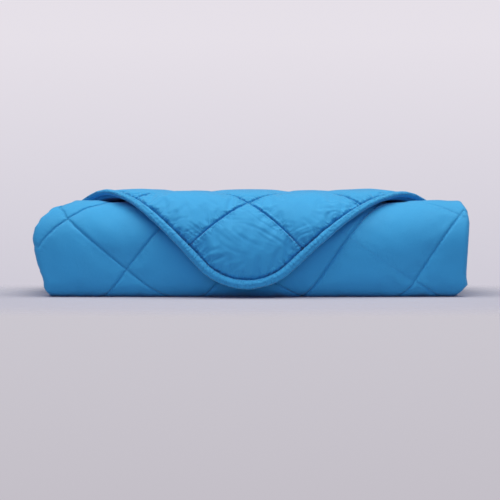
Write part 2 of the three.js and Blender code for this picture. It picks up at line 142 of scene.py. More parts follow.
SQUARES = 9
FINE_SQUARES = 3
FINE = 75  # steps across a square on the flap
COARSE = 3  # fine steps in a step of the roll
CROWD = 0.62  # how much closer the steps lie beside the seams
CORNER_STEPS = 24
SNAP_FINE = 0.5
SNAP_COARSE = 1.0
ON_LINE = 1e-6
NEAR = 0.01
RIM_RINGS = 8
HIDDEN_STEP = 7.0
HIDDEN_COLUMNS = [0, .25, .5, .68, .8, .86, .9, .93, .955, .975, .99, 1]
LINING_STEP = 12.0
LINING_COLUMNS = [0, .04, .08, .12, .16, .2, .24, .28, .32, .36, .4, .44, .48, .52, .56, .6, .64, .68,
                  .72, .76, .8, .84, .88, .92, .96, .985, 1]
BEND_STEP = math.radians(12)

FLAP_SIM_STEPS = 40  # simulated steps across a square
ROLL_SIM_STEPS = 20

# ---- the quilting's relief: depths in millimetres, places on a and b in squares ----

FLAP_POWER = 0.45  # how roundly the squares swell: lower is flatter between narrower seams
ROLL_POWER = 0.35
ROLL_RELIEF = 0.65  # how deep the roll's squares are, as a share of the seams' full depth
FLAP_BLEND = 0.5  # squares over which the flap's relief turns into the roll's
FLAP_END = (300.0, 420.0)  # where along the cloth the flap's looser finish turns into the roll's
# Seams that are pressed flat for a way: where they lie on a, from and to on b, and the share lost.
FAINT_SEAMS = [(6.0, 2.8, 4.5, 0.97), (7.0, 2.8, 3.9, 0.6)]
FAINT_BESIDE = (0.3, 0.5)  # how far beside such a seam the pressing fades out
FAINT_FADE_IN = 0.3
FAINT_FADE_OUT = 0.2
DEEP_SEAM = 4.0  # the seam across the roll's right part, which is drawn in further
DEEP_SHARE = 0.9
DEEP_FROM = (4.5, 5.0)  # where on a it starts
UNFILLED = 0.6  # height of the flap's squares before the filling pushes them out
GROOVE = 2.6  # depth of the narrow groove along a seam on the flap
GROOVE_ON_ROLL = 1.5
GROOVE_WIDTH = 1.5
RIM_GROOVE = 4.6
RIM_GROOVE_AT = 1.2
RIM_GROOVE_WIDTH = 2.3
# Pleats that a seam gathers: depth, and then pitch, width and reach.
RIM_GATHER = 2.4
RIM_GATHER_SIZE = (8.5, 1.3, 15.0)
FLAP_GATHER = 0.5
ROLL_GATHER = 0.3
SEAM_GATHER_SIZE = (11.0, 2.0, 20.0)
# How much the gathered pleats differ: least and most, as shares of the plain one.
GATHER_SHIFT = 0.8
GATHER_SLANT = 0.9
GATHER_WIDTHS = (0.75, 1.35)
GATHER_REACHES = (0.45, 1.35)
GATHER_DEPTHS = (0.25, 1.0)
GATHER_FADE = 0.15  # share of its reach at which a pleat starts to fade

# ---- small folds that the stitches draw in ----

# Single folds on the flap: three places a, b that each passes through, its width and its depth in mm.
# A fold of negative depth is a ridge.
FOLDS = [
    # long soft arcs on the corner square
    (0.64, 0.81, 0.77, 0.55, 0.88, 0.11, 2.4, 0.75),
    (0.53, 0.80, 0.56, 0.57, 0.69, 0.28, 2.6, 0.80),
    (0.39, 0.90, 0.39, 0.80, 0.42, 0.66, 2.2, 0.55),
    (0.55, 0.96, 0.66, 0.85, 0.76, 0.70, 2.0, 0.50),
    (0.84, 0.90, 0.86, 0.62, 0.93, 0.34, 1.9, 0.45),
    (0.30, 0.82, 0.34, 0.62, 0.47, 0.40, 2.4, 0.50),
    (0.47, 0.88, 0.47, 0.70, 0.55, 0.48, 1.8, 0.40),
    (0.71, 0.66, 0.74, 0.45, 0.80, 0.26, 1.8, 0.45),
    (0.60, 0.55, 0.68, 0.38, 0.80, 0.20, 1.9, 0.40),
    # pinches beside its bound edge
    (0.03, 0.75, 0.11, 0.74, 0.22, 0.70, 2.2, -2.00),
    (0.05, 0.66, 0.14, 0.65, 0.24, 0.60, 3.2, 2.40),
    (0.05, 0.82, 0.10, 0.82, 0.17, 0.80, 2.0, 0.90),
    (0.10, 0.50, 0.20, 0.50, 0.31, 0.44, 2.6, -0.80),
    (0.12, 0.42, 0.24, 0.40, 0.38, 0.38, 2.4, 0.70),
    (0.47, 0.06, 0.50, 0.13, 0.56, 0.22, 2.0, 0.70),
    (0.62, 0.03, 0.64, 0.12, 0.70, 0.20, 2.0, 0.60),
    # pleats across the seam on its left
    (0.21, 1.22, 0.23, 1.10, 0.26, 1.01, 1.5, 0.95),
    (0.17, 1.14, 0.18, 1.06, 0.21, 1.00, 1.4, 0.90),
    (0.27, 1.16, 0.29, 1.08, 0.32, 1.01, 1.4, 0.75),
    (0.11, 1.18, 0.12, 1.09, 0.14, 1.01, 1.5, 0.80),
    (0.26, 0.99, 0.28, 0.94, 0.31, 0.89, 1.5, 0.60),
    (0.16, 0.99, 0.18, 0.93, 0.21, 0.87, 1.5, 0.60),
    (0.50, 1.14, 0.50, 1.07, 0.52, 1.01, 1.7, 0.55),
    (0.38, 1.13, 0.39, 1.07, 0.41, 1.01, 1.6, 0.70),
    # and across the seam on its right
    (1.01, 0.70, 1.05, 0.70, 1.11, 0.69, 1.6, -0.90),
    (1.01, 0.66, 1.04, 0.65, 1.10, 0.63, 1.5, 0.80),
    (1.01, 0.48, 1.06, 0.47, 1.13, 0.46, 1.6, -0.90),
    (1.01, 0.43, 1.05, 0.42, 1.12, 0.39, 1.6, 0.90),
    (1.01, 0.33, 1.06, 0.33, 1.11, 0.30, 1.5, 0.70),
    (1.01, 0.22, 1.12, 0.21, 1.27, 0.16, 1.8, -1.10),
    (1.01, 0.16, 1.11, 0.15, 1.22, 0.10, 1.8, 1.00),
    # drapes and pinches of the left square
    (0.05, 1.36, 0.13, 1.34, 0.22, 1.29, 1.7, 0.95),
    (0.05, 1.49, 0.12, 1.46, 0.20, 1.44, 1.8, 1.05),
    (0.06, 1.58, 0.15, 1.57, 0.27, 1.55, 1.8, 0.85),
    (0.03, 1.68, 0.12, 1.67, 0.24, 1.70, 1.8, 1.10),
    (0.03, 1.77, 0.13, 1.78, 0.30, 1.80, 2.0, 0.90),
    (0.17, 1.41, 0.26, 1.41, 0.37, 1.43, 3.0, 0.70),
    (0.05, 1.18, 0.10, 1.15, 0.17, 1.12, 1.6, 0.85),
    (0.21, 1.25, 0.30, 1.30, 0.36, 1.42, 3.2, 0.70),
    (0.40, 1.20, 0.44, 1.32, 0.46, 1.50, 3.4, 0.60),
    (0.62, 1.08, 0.63, 1.20, 0.60, 1.36, 3.0, 0.55),
    # knot and creases of the right square
    (1.52, 0.12, 1.57, 0.15, 1.66, 0.10, 1.7, 1.15),
    (1.55, 0.08, 1.59, 0.10, 1.63, 0.07, 1.6, -1.20),
    (1.46, 0.03, 1.49, 0.12, 1.47, 0.22, 1.9, 0.90),
    (1.34, 0.04, 1.38, 0.14, 1.36, 0.26, 2.0, 0.90),
    (1.22, 0.04, 1.27, 0.16, 1.26, 0.30, 2.1, 0.70),
    (1.58, 0.36, 1.72, 0.26, 1.86, 0.13, 2.0, 0.55),
    (1.50, 0.30, 1.60, 0.22, 1.72, 0.12, 2.0, 0.55),
    (1.73, 0.04, 1.77, 0.12, 1.84, 0.20, 1.8, 0.85),
    (1.86, 0.03, 1.88, 0.10, 1.92, 0.18, 1.8, 0.75),
    (2.33, 0.05, 2.42, 0.06, 2.58, 0.05, 2.4, 1.20),
    # and of the roll's front
    (3.81, 6.36, 3.90, 6.33, 3.98, 6.30, 2.6, 0.70),
    (3.84, 6.50, 3.92, 6.46, 3.99, 6.44, 2.8, 0.80),
    (4.01, 6.22, 4.07, 6.24, 4.14, 6.24, 2.4, 0.60),
    (3.86, 6.76, 3.93, 6.72, 3.99, 6.66, 2.6, 0.60),
]
FOLD_PIECES = 14
FOLD_SHARPNESS = 0.8
FOLD_TAPER = 0.06  # how abruptly a fold ends: 0 fades it out to nothing
FOLD_FULLNESS = 0.8
FOLD_LIP = 0.55  # height of the raised lip beside a fold, as a share of its depth
FOLD_LIP_AT = 2.0  # in widths of the fold
FOLD_LIP_WIDTH = 1.3
FOLD_LIP_REACH = 4.0
FAR_LIP = 0.35  # height of the lip on the fold's other side, as a share of the first one's
FOLDS_AT_END = 0.3  # share of the grooves' depth that reaches the folded ends
FOLDS_FADE = 9.0  # how far from the folded ends the grooves grow shallow
END_REACH = 75.0  # how far from the folded ends the squares flatten
END_FLAT = 5.0
END_CALM = 0.55  # how much they flatten
END_LEVEL = 0.36  # the depth they flatten to, as a share of the seams' full depth
END_NOTCH = 0.2  # how much less the folded ends bulge at a seam
LINE_ON_FLAP = 0.7  # strength of the pressed line along a seam on the flap, as a share of the roll's
PLEATS_ON_ROLL = 0.3  # strength of the finest pleats on the roll, as a share of the flap's

CHANCE = np.random.default_rng(7).random((997, 5))

# ---- the filling, pushed out as simulated cloth ----

FILLED_PAST_END = 6.0  # how far past the folded ends the simulated cloth reaches
START_LUMPS = 0.5  # height and size of the first small lumps, without which the cloth stays flat
START_LUMP_SIZE = 9.0
START_LUMP_SEED = 3
TAUT_FROM = 25.0  # how far from the folded ends the cloth is drawn tight
TAUT_AT = 4.0
HELD_FROM = 60.0  # how far before the end of the quilted part the cloth is held still
HELD_AT = 20.0
STITCH_REACH = 0.4  # how near to a seam a point is stitched down, as a share of a step
PUSH_FADE = 12.0  # how far from the folded ends the push fades out
FLAP_TOP = (165.0, 235.0)  # where along the cloth the flap turns onto the roll's top
CLOTH_SETTINGS = {
    "mass": 0.2,
    "tension_stiffness": 12,
    "compression_stiffness": 12,
    "shear_stiffness": 4,
    "tension_damping": 5,
    "compression_damping": 5,
    "air_damping": 2,
    "vertex_group_mass": "stitched",
    "vertex_group_shrink": "taut",
    "use_pressure": True,
    "shrink_max": 0,
}

# ---- the bound edge ----

BINDING_STEP = 2.0
BINDING_SIDES = 28
BINDING_RISE = 0.8
SEWN_OVER = 0.9  # how far the tape laps over the quilt's edge
CREASE_AT = math.radians(72)  # where the tape's own fold line shows, round the binding
CREASE_WANDER = math.radians(14)
CREASE_WANDER_LENGTH = 60.0
CREASE_WIDE = math.radians(13)
CREASE_DEPTH = 0.9
TAPE_WAVE = 0.05  # share by which the tape's thickness changes along it
TAPE_WAVE_LENGTH = 21.0
TAPE_LUMP = 0.045
TAPE_LUMP_LENGTH = 9.0
TAPE_WRINKLE = 0.03
TAPE_WRINKLE_LENGTH = 5.5
TAPE_ON_TOP = 0.75  # the tape's size where it turns over the top, as a share of its full size
TAPE_TOP = (125.0, 200.0)
TUCK_LENGTH = 26.0  # how far from its ends the tape is tucked under
TUCKED_SIZE = 0.5
TUCK_DEPTH = 4.5

# ---- the cloth's and the thread's finish ----

WEAVE_PITCH = 0.00055  # metres from thread to thread
WEAVE_CROWNS = (0.45, 0.85)
WEAVE_DEPTH = 0.1  # millimetres, as all depths here
NAP_SCALE = 900.0
NAP_STRETCH = (1.0, 0.35, 1.0)
NAP_DEPTH = 0.1
CREASE_SCALE = 150.0
QUILT_CREASES = 0.5  # depth of the soft creases on the quilt
TAPE_CREASES = 0.7
CLOUD_SCALE = 17.0
CLOUD_ROUGHNESS = (0.0, 0.14)
CROWN_ROUGHNESS = (0.66, 0.6)
PLEATS_A_SQUARE = 17.0
PLEAT_SLANT = 9.0
PLEAT_CHANGE = 7.3  # how far the pattern of pleats moves on from one side of a seam to the next
PLEAT_WIDTH = 0.13
PLEAT_REACH = 0.14  # in squares
PLEAT_DEPTH = 0.7
RIM_PLEATS_AT = 31.0  # where the pattern of pleats beside the bound edge starts, in squares
TAPE_PLEAT_SHARE = 2.0
TAPE_PLEAT_SIDES = 10.0
LINE_REACH = 0.02  # in squares
LINE_CHANGES = 40.0  # how often a metre the pressed line's depth changes
LINE_DEPTHS = (0.2, 1.3)  # least and most, as shares of its depth
LINE_DEPTH = 0.9
CLOTH_SHEEN = {
    "Sheen Weight": 0.35,
    "Sheen Roughness": 0.4,
    "Sheen Tint": (0.75, 0.9, 1.0, 1),
    "Specular IOR Level": 0.35,
}
THREAD_SHEEN = {"Sheen Weight": 0.15, "Specular IOR Level": 0.45}
THREAD_PATCHES = 400.0
THREAD_TWIST = 2500.0
THREAD_TWIST_DEPTH = 0.05

STITCH_SIDES = 5
STITCH_RINGS = 4
STITCHED_TO = 800.0  # how far along the cloth the stitches are made: beyond this they don't show
STITCH_CLEARANCE = 3.0  # how far from the bound edge they stop
STITCH_LIFT = 0.15
SEAM_LINES = "seam_lines"

# ---- the stage, in metres ----

FLOOR_HALF = 1.5
FLOOR_WIDE = 0.95  # half of the pale pool of floor round the roll, which fades into the background
FLOOR_DEEP = 0.33
FLOOR_CENTRE = -0.12
FLOOR_FADE = (0.45, 1.0)
FLOOR_FINISH = {"Base Color": (0.485, 0.455, 0.525, 1), "Roughness": 0.9, "Specular IOR Level": 0.1}
ROOM_LIGHT = {"Color": (0.86, 0.88, 1.25, 1), "Strength": 0.22}
# The background's tones by height, from the lowest direction that is toned to the highest. They are
# painted light: painted shade darkens the floor seen low down towards the bottom, and the wall higher up
# is painted lighter.
BACKGROUND_FROM = -0.25
BACKGROUND_TO = 0.15
BACKGROUND = [
    (0.0, (0.50, 0.47, 0.52, 1)),
    (0.43, (0.60, 0.575, 0.63, 1)),
    (0.455, (0.632, 0.608, 0.684, 1)),
    (0.73, (0.79, 0.75, 0.81, 1)),
]
# Each soft box: name, place, what it points at, width, depth, power in watts, colour.
LIGHTS = [
    ("overhead", (0, -0.25, 1.7), (0, 0, 0), 2.6, 1.5, 40, (1.0, 1.05, 0.95)),
    ("front", (0, -2.6, 1.0), (0, 0, 0.05), 2.2, 1.4, 6.8, (1.05, 0.92, 1.4)),
]
CAMERA_DISTANCE = 3.0
CAMERA_RISE = math.radians(3)
CAMERA_SENSOR = 36
CAMERA_CLIP = 100
VIEW_SIZE = 500  # pixels across the view
PIXEL = 0.00136  # metres at the roll's front
FRONT_BOTTOM = (251.0, 297.5)  # where the foot of the roll's front stands in the view
FRONT_Y = -0.098


def smoothstep(value, low, high):
    """0 below low, 1 above high, and a smooth rise between them."""
    share = np.clip((np.asarray(value, float) - low) / (high - low), 0, 1)
    return share * share * (3 - 2 * share)


def lerp(low, high, share):
    """The value at a share of the way from low to high."""
    return low + (high - low) * share


# ---- the cloth's way through the roll ----

# Direction of travel and direction into the roll, each as y, z.
TRAVEL = {
    "front": ((0, 1), (1, 0)),
    "top": ((1, 0), (0, -1)),
    "back": ((0, -1), (-1, 0)),
    "bottom": ((-1, 0), (0, 1)),
}


def all_runs():
    """The outer runs and the inner turns that follow them, each a ply further in."""
    runs = list(OUTER_RUNS)
    for _ in range(INNER_TURNS * RUNS_PER_TURN):
        face, at, bend, ply, _sink = runs[-RUNS_PER_TURN]
        inward = sum(TRAVEL[face][1])
        bend = max(bend - PLY - PLY_GAP, TIGHTEST_BEND)
        runs.append((face, at + inward * (ply + PLY_GAP), bend, PLY, 0.0))
    return runs


class Face:
    """One face of the cloth as a row of straight runs and bends, in the plane across the roll."""

    def __init__(self, runs, is_inner):
        self.pieces = []
        ats = [at + sum(TRAVEL[face][1]) * (ply if is_inner else 0) for face, at, _, ply, _ in runs]
        start = np.array([ats[0], FLAP_START])
        for i, (face, _, bend, ply, _) in enumerate(runs):
            if i == len(runs) - 1:
                self.add_straight(start, np.array([CORE_END, ats[i]]))
                break
            along = np.array(TRAVEL[face][0], float)
            out = np.array(TRAVEL[runs[i + 1][0]][0], float)
            upright = face in ("front", "back")
            corner = np.array([ats[i], ats[i + 1]] if upright else [ats[i + 1], ats[i]])
            radius = max(bend - max(ply, runs[i + 1][3]), TIGHTEST_CREASE) if is_inner else bend
            self.add_straight(start, corner - radius * along)
            self.add_bend(corner - radius * along + radius * out, radius, along, out)
            start = corner + radius * out
        self.lengths = np.array([piece["length"] for piece in self.pieces])
        self.starts = np.concatenate([[0], np.cumsum(self.lengths)])

    def add_straight(self, start, end):
        """Adds a straight run between two places."""
        self.pieces.append({"bend": 0, "from": start, "to": end, "centre": start, "radius": 0,
                            "along": start * 0, "out": start * 0,
                            "length": float(np.hypot(*(end - start)))})

    def add_bend(self, centre, radius, along, out):
        """Adds a quarter turn, from travelling along one direction to another."""
        self.pieces.append({"bend": 1, "from": centre, "to": centre, "centre": centre,
                            "radius": radius, "along": along, "out": out,
                            "length": radius * math.pi / 2})

    def column(self, name, index):
        """One value of the pieces with some indices."""
        return np.array([piece[name] for piece in self.pieces], float)[index]

    def point(self, index, share):
        """Places at a share of the way along the pieces with some indices."""
        angle = share * math.pi / 2
        straight = lerp(self.column("from", index), self.column("to", index), share[:, None])
        swing = self.column("along", index) * np.sin(angle)[:, None]
        swing -= self.column("out", index) * np.cos(angle)[:, None]
        bent = self.column("centre", index) + self.column("radius", index)[:, None] * swing
        return np.where(self.column("bend", index)[:, None] > 0, bent, straight)


RUNS = all_runs()
OUTER = Face(RUNS, False)
INNER = Face(RUNS, True)
CLOTH_LENGTH = OUTER.starts[-1]


def locate(s):
    """Which piece of the path holds each s, and how far along it s lies."""
    s = np.asarray(s, float)
    index = np.clip(np.searchsorted(OUTER.starts[1:], s), 0, len(OUTER.pieces) - 1)
    return index, (s - OUTER.starts[index]) / OUTER.lengths[index]


def seam_depth(s):
    """Depth of the quilting seams at s, blended over the bends."""
    index, share = locate(s)
    sinks = np.array([run[4] for run in RUNS] + [0.0])
    bend = index % 2 == 1
    return np.where(bend, lerp(sinks[index // 2], sinks[index // 2 + 1], smoothstep(share, 0, 1)),
                    sinks[index // 2])


def thickness(s):
    """The cloth's thickness at s."""
    index, share = locate(s)
    return np.linalg.norm(INNER.point(index, share) - OUTER.point(index, share), axis=1)


# ---- the quilting on the flat cloth ----

RIGHT_EDGE = (math.cos(FLAP_LEAN), math.sin(FLAP_LEAN))
LEFT_EDGE = (-math.sin(FLAP_LEAN), math.cos(FLAP_LEAN))
MIDDLE_STEP = 5.0


def middle_line():
    """The quilting's middle line, which turns as the cloth is rolled a little askew."""
    along = np.arange(MIDDLE_STEP, CLOTH_LENGTH, MIDDLE_STEP)
    turn = BODY_TURN * smoothstep(along - MIDDLE_STEP / 2, TURN_FROM, TURN_TO)
    u = np.concatenate([[0], np.cumsum(-np.sin(turn) * MIDDLE_STEP)])
    s = np.concatenate([[0], np.cumsum(np.cos(turn) * MIDDLE_STEP)])
    return u, s, np.concatenate([[0], turn])


MIDDLE_U, MIDDLE_S, MIDDLE_TURN = middle_line()


def on_cloth(a, b):
    """The flat place of a point of the quilting."""
    u = CORNER_U + SQUARE * (a * RIGHT_EDGE[0] + b * LEFT_EDGE[0])
    t = CORNER_S + SQUARE * (a * RIGHT_EDGE[1] + b * LEFT_EDGE[1])
    index = np.clip(np.floor(t / MIDDLE_STEP).astype(int), 0, len(MIDDLE_U) - 2)
    share = t / MIDDLE_STEP - index
    turn = lerp(MIDDLE_TURN[index], MIDDLE_TURN[index + 1], share)
    ease = smoothstep(t, TURN_FROM, TURN_TO)
    flat_u = lerp(MIDDLE_U[index], MIDDLE_U[index + 1], share) + u * np.cos(turn) + SHIFT_U * ease
    flat_s = lerp(MIDDLE_S[index], MIDDLE_S[index + 1], share) + u * np.sin(turn) + SHIFT_S * ease
    curl = CURL * flat_u * ease
    return flat_u - curl * (flat_s - CURL_CENTRE), flat_s + curl * flat_u / 2


# ---- placing the flat cloth in the roll ----

def flap_lift(u, s):
    """How far the flap stands off the roll."""
    du = u - CORNER_U
    ds = s - CORNER_S
    inside = {
        "left": du * RIGHT_EDGE[0] + ds * RIGHT_EDGE[1],
        "right": du * LEFT_EDGE[0] + ds * LEFT_EDGE[1],
    }
    lift = LEAN * np.clip((LEAN_FROM - s) / LEAN_FROM, 0, 1) ** LEAN_POWER
    for side, (height, centre, reach) in FLAP_LIFT.items():
        along = 1 - smoothstep(np.abs(s - centre) / reach, 0, 1)
        across = 1 - smoothstep(np.maximum(inside[side], 0), 0, LIFT_FADE)
        lift = lift + height * along * across
    return lift


def drawn_in(u, z):
    """How far the folded end on u's side draws in at a height."""
    heights = END_SHAPE[:, 0]
    row = np.clip(np.searchsorted(heights, z, side="right") - 1, 0, len(heights) - 2)
    share = smoothstep((z - heights[row]) / (heights[row + 1] - heights[row]), 0, 1)
    column = np.where(u < 0, 1, 2)
    return lerp(END_SHAPE[row, column], END_SHAPE[row + 1, column], share)


def along_roll(u, s, z):
    """Where u lies along the roll, once the folded ends are drawn in."""
    strength = smoothstep(s, DRAW_START, DRAW_FULL)
    hidden = smoothstep(s, QUILTED_TO, QUILTED_TO + SQUARE)
    wave = hidden * END_WAVE * (1 + np.sin(s / END_WAVE_LENGTH * 2 * math.pi + np.sign(u)))
    share = np.maximum((np.abs(u) - DRAW_FROM) / (HALF - DRAW_FROM), 0) ** DRAW_POWER
    return u - np.sign(u) * share * (strength * drawn_in(u, z) + wave)


def place(u, s, depth, bulge=0.0):
    """Where flat points lie in the roll, depth under the outer face and bulge past the folded end."""
    u, s, depth, bulge = np.broadcast_arrays(*(np.asarray(v, float) for v in (u, s, depth, bulge)))
    index, share = locate(s)
    outer = OUTER.point(index, share)
    inner = INNER.point(index, share)
    under = (depth - flap_lift(u, s)) / np.linalg.norm(inner - outer, axis=1)
    y, z = lerp(outer, inner, under[:, None]).T
    x = along_roll(u, s, outer[:, 1]) + np.sign(u) * bulge
    drop, rise, start, full = (
        np.where(x < 0, left, right) for left, right in zip(END_SLOPE["left"], END_SLOPE["right"])
    )
    at_end = smoothstep(np.abs(x), start, full)
    at_back = smoothstep(y, SLOPE_FRONT, SLOPE_BACK)
    taper = 1 - PLAN_TAPER * (np.abs(x) / (ROLL_LENGTH / 2)) ** PLAN_TAPER_POWER
    return np.stack([x, y * taper, z * (1 + at_end * lerp(rise, -drop, at_back))], axis=1)


# ---- the quilting's relief ----


def dome(distance, power=1.0):
    """Height of the filling at a distance from a seam, in squares, from 0 to 1."""
    share = np.clip(distance, 0, 0.5)
    return (4 * share * (1 - share)) ** power


def rim_distance(a, b):
    """Distance from the bound edge and the distance along it, in squares."""
    radius = CORNER_RADIUS / SQUARE
    in_corner = (a < radius) & (b < radius)
    round_distance = radius - np.hypot(radius - a, radius - b)
    angle = np.arctan2(np.maximum(radius - b, 0), np.maximum(radius - a, 1e-9))
    distance = np.where(in_corner, round_distance, np.minimum(a, b))
    straight = np.where(a < b, radius - b, radius * math.pi / 2 + a - radius)
    return np.maximum(distance, 0), np.where(in_corner, radius * angle, straight)


def seam_distances(value):
    """Distance from the nearest seam of one direction, in squares: the edge itself isn't one."""
    nearest = np.maximum(np.round(value), 1)
    return np.abs(value - nearest), nearest


def seam_strength(a, b):
    """Share of its depth that the nearest seam on a keeps where it is pressed flat."""
    strength = np.ones(len(a))
    for seam, start, end, share in FAINT_SEAMS:
        flat = 1 - smoothstep(np.abs(a - seam), *FAINT_BESIDE)
        flat *= smoothstep(b, start, start + FAINT_FADE_IN)
        flat *= 1 - smoothstep(b, end - FAINT_FADE_OUT, end)
        strength -= share * flat
    return strength


def flap_share(s):
    """1 on the flap and 0 on the roll, for what is looser on the flap."""
    return 1 - smoothstep(s, *FLAP_END)


def relief(a, b):
    """How far a quilted point sinks under its face's highest level, as a share of the seams' depth."""
    flap = 1 - smoothstep(np.maximum(a, b), FINE_SQUARES - FLAP_BLEND, FINE_SQUARES)
    power = lerp(ROLL_POWER, FLAP_POWER, flap)
    first = lerp(1, dome(seam_distances(a)[0], power), seam_strength(a, b))
    height = first * dome(seam_distances(b)[0], power) * dome(rim_distance(a, b)[0], power)
    return lerp(ROLL_RELIEF, 1, flap) * (1 - height * lerp(1, UNFILLED, flap))


# ---- small folds that the stitches draw in ----

def fold_depth(a, b):
    """Depth in millimetres of the listed folds."""
    depth = np.zeros(len(a))
    for a0, b0, a1, b1, a2, b2, wide, strength in FOLDS:
        width = wide * FOLD_SHARPNESS
        margin = 5 * width / SQUARE
        low_a, high_a = min(a0, a1, a2) - margin, max(a0, a1, a2) + margin
        low_b, high_b = min(b0, b1, b2) - margin, max(b0, b1, b2) + margin
        near = np.flatnonzero((a > low_a) & (a < high_a) & (b > low_b) & (b < high_b))
        t = np.linspace(0, 1, FOLD_PIECES + 1)
        starts = (1 - t) * (1 - 2 * t)
        middles = 4 * t * (1 - t)
        ends = t * (2 * t - 1)
        line_a = (a0 * starts + a1 * middles + a2 * ends) * SQUARE
        line_b = (b0 * starts + b1 * middles + b2 * ends) * SQUARE
        best = np.full(len(near), np.inf)
        side = np.zeros(len(near))
        place_along = np.zeros(len(near))
        for k in range(FOLD_PIECES):
            step_a, step_b = line_a[k + 1] - line_a[k], line_b[k + 1] - line_b[k]
            length = math.hypot(step_a, step_b)
            off_a, off_b = a[near] * SQUARE - line_a[k], b[near] * SQUARE - line_b[k]
            share = np.clip((off_a * step_a + off_b * step_b) / length ** 2, 0, 1)
            gap_a, gap_b = off_a - share * step_a, off_b - share * step_b
            gap = np.hypot(gap_a, gap_b)
            closer = gap < best
            best[closer] = gap[closer]
            side[closer] = ((off_b * step_a - off_a * step_b) / length)[closer]
            place_along[closer] = ((k + share) / FOLD_PIECES)[closer]
        fade = np.sin(math.pi * lerp(FOLD_TAPER, 1 - FOLD_TAPER, place_along)) ** FOLD_FULLNESS
        valley = np.exp(-(best / width) ** 2)
        lip = np.exp(-((np.abs(side) / width - FOLD_LIP_AT) / FOLD_LIP_WIDTH) ** 2)
        lip *= np.exp(-(best / (FOLD_LIP_REACH * width)) ** 4)
        lip *= np.where(side > 0, 1.0, FAR_LIP)
        depth[near] += strength * fade * (valley - FOLD_LIP * lip)
    return depth


def gathers(along, across, seam, pitch, width, reach):
    """Depth of small pleats along and across a seam in millimetres; seam numbers the seam's side."""
    slot = np.floor(along / pitch)
    depth = np.zeros_like(along)
    for step in (-1, 0, 1):
        row = ((slot + step) * 13 + seam * 101).astype(int) % len(CHANCE)
        offset, strength, length, slant, wide = CHANCE[row].T
        centre = (slot + step + 0.5 + GATHER_SHIFT * (offset - 0.5)) * pitch
        centre += GATHER_SLANT * (slant - 0.5) * across
        own_width = width * lerp(*GATHER_WIDTHS, wide) * (1 + across / reach)
        own_reach = reach * lerp(*GATHER_REACHES, length)
        fade = 1 - smoothstep(across, GATHER_FADE * own_reach, own_reach)
        valley = np.exp(-((along - centre) / own_width) ** 2)
        depth += lerp(*GATHER_DEPTHS, strength) * valley * fade
    return depth


def value_noise(x, y, seed):
    """Smooth noise from -1 to 1 on a grid of unit cells."""
    table = np.random.default_rng(seed).random((64, 64)) * 2 - 1
    column = np.floor(x).astype(int)
    row = np.floor(y).astype(int)
    fx = smoothstep(x - column, 0, 1)
    fy = smoothstep(y - row, 0, 1)
    corners = [table[(column + i) % 64, (row + j) % 64] for i in (0, 1) for j in (0, 1)]
    return lerp(lerp(corners[0], corners[1], fy), lerp(corners[2], corners[3], fy), fx)


# ---- flat meshes of the cloth ----

def cloth_outline():
    """The cloth's outline as u, s, anticlockwise from its far left corner."""
    left = (HALF + CORNER_U) / -LEFT_EDGE[0]
    right = (HALF - CORNER_U) / RIGHT_EDGE[0]
    points = [(-HALF, CLOTH_LENGTH), (-HALF, CORNER_S + left * LEFT_EDGE[1])]
    for i in range(CORNER_STEPS + 1):
        angle = i / CORNER_STEPS * math.pi / 2
        a = (1 - math.cos(angle)) * CORNER_RADIUS
        b = (1 - math.sin(angle)) * CORNER_RADIUS
        points.append((CORNER_U + b * LEFT_EDGE[0] + a * RIGHT_EDGE[0],
                       CORNER_S + b * LEFT_EDGE[1] + a * RIGHT_EDGE[1]))
    points.append((HALF, CORNER_S + right * RIGHT_EDGE[1]))
    points.append((HALF, CLOTH_LENGTH))
    return points


OUTLINE = cloth_outline()
OUTLINE_LINES = [(OUTLINE[i], OUTLINE[(i + 1) % len(OUTLINE)]) for i in range(len(OUTLINE))]
LEFT_FOLD_START = OUTLINE[1][1]
RIGHT_FOLD_START = OUTLINE[-2][1]
QUILTED_END = ((HALF, QUILTED_TO), (-HALF, QUILTED_TO))


def left_of(u, s, line):
    """Signed distance from a line: positive on its left, 0 on it."""
    (u0, s0), (u1, s1) = line
    distance = ((u1 - u0) * (s - s0) - (s1 - s0) * (u - u0)) / math.hypot(u1 - u0, s1 - s0)
    return np.where(np.abs(distance) < ON_LINE, 0.0, distance)


def snapped(u, s, lines, reach):
    """Flat points that lie close beside a line, moved onto it."""
    for line in lines:
        (u0, s0), (u1, s1) = line
        length = math.hypot(u1 - u0, s1 - s0)
        distance = left_of(u, s, line)
        move = np.where(np.abs(distance) < reach, distance, 0.0)
        u = u + move * (s1 - s0) / length
        s = s - move * (u1 - u0) / length
    return u, s


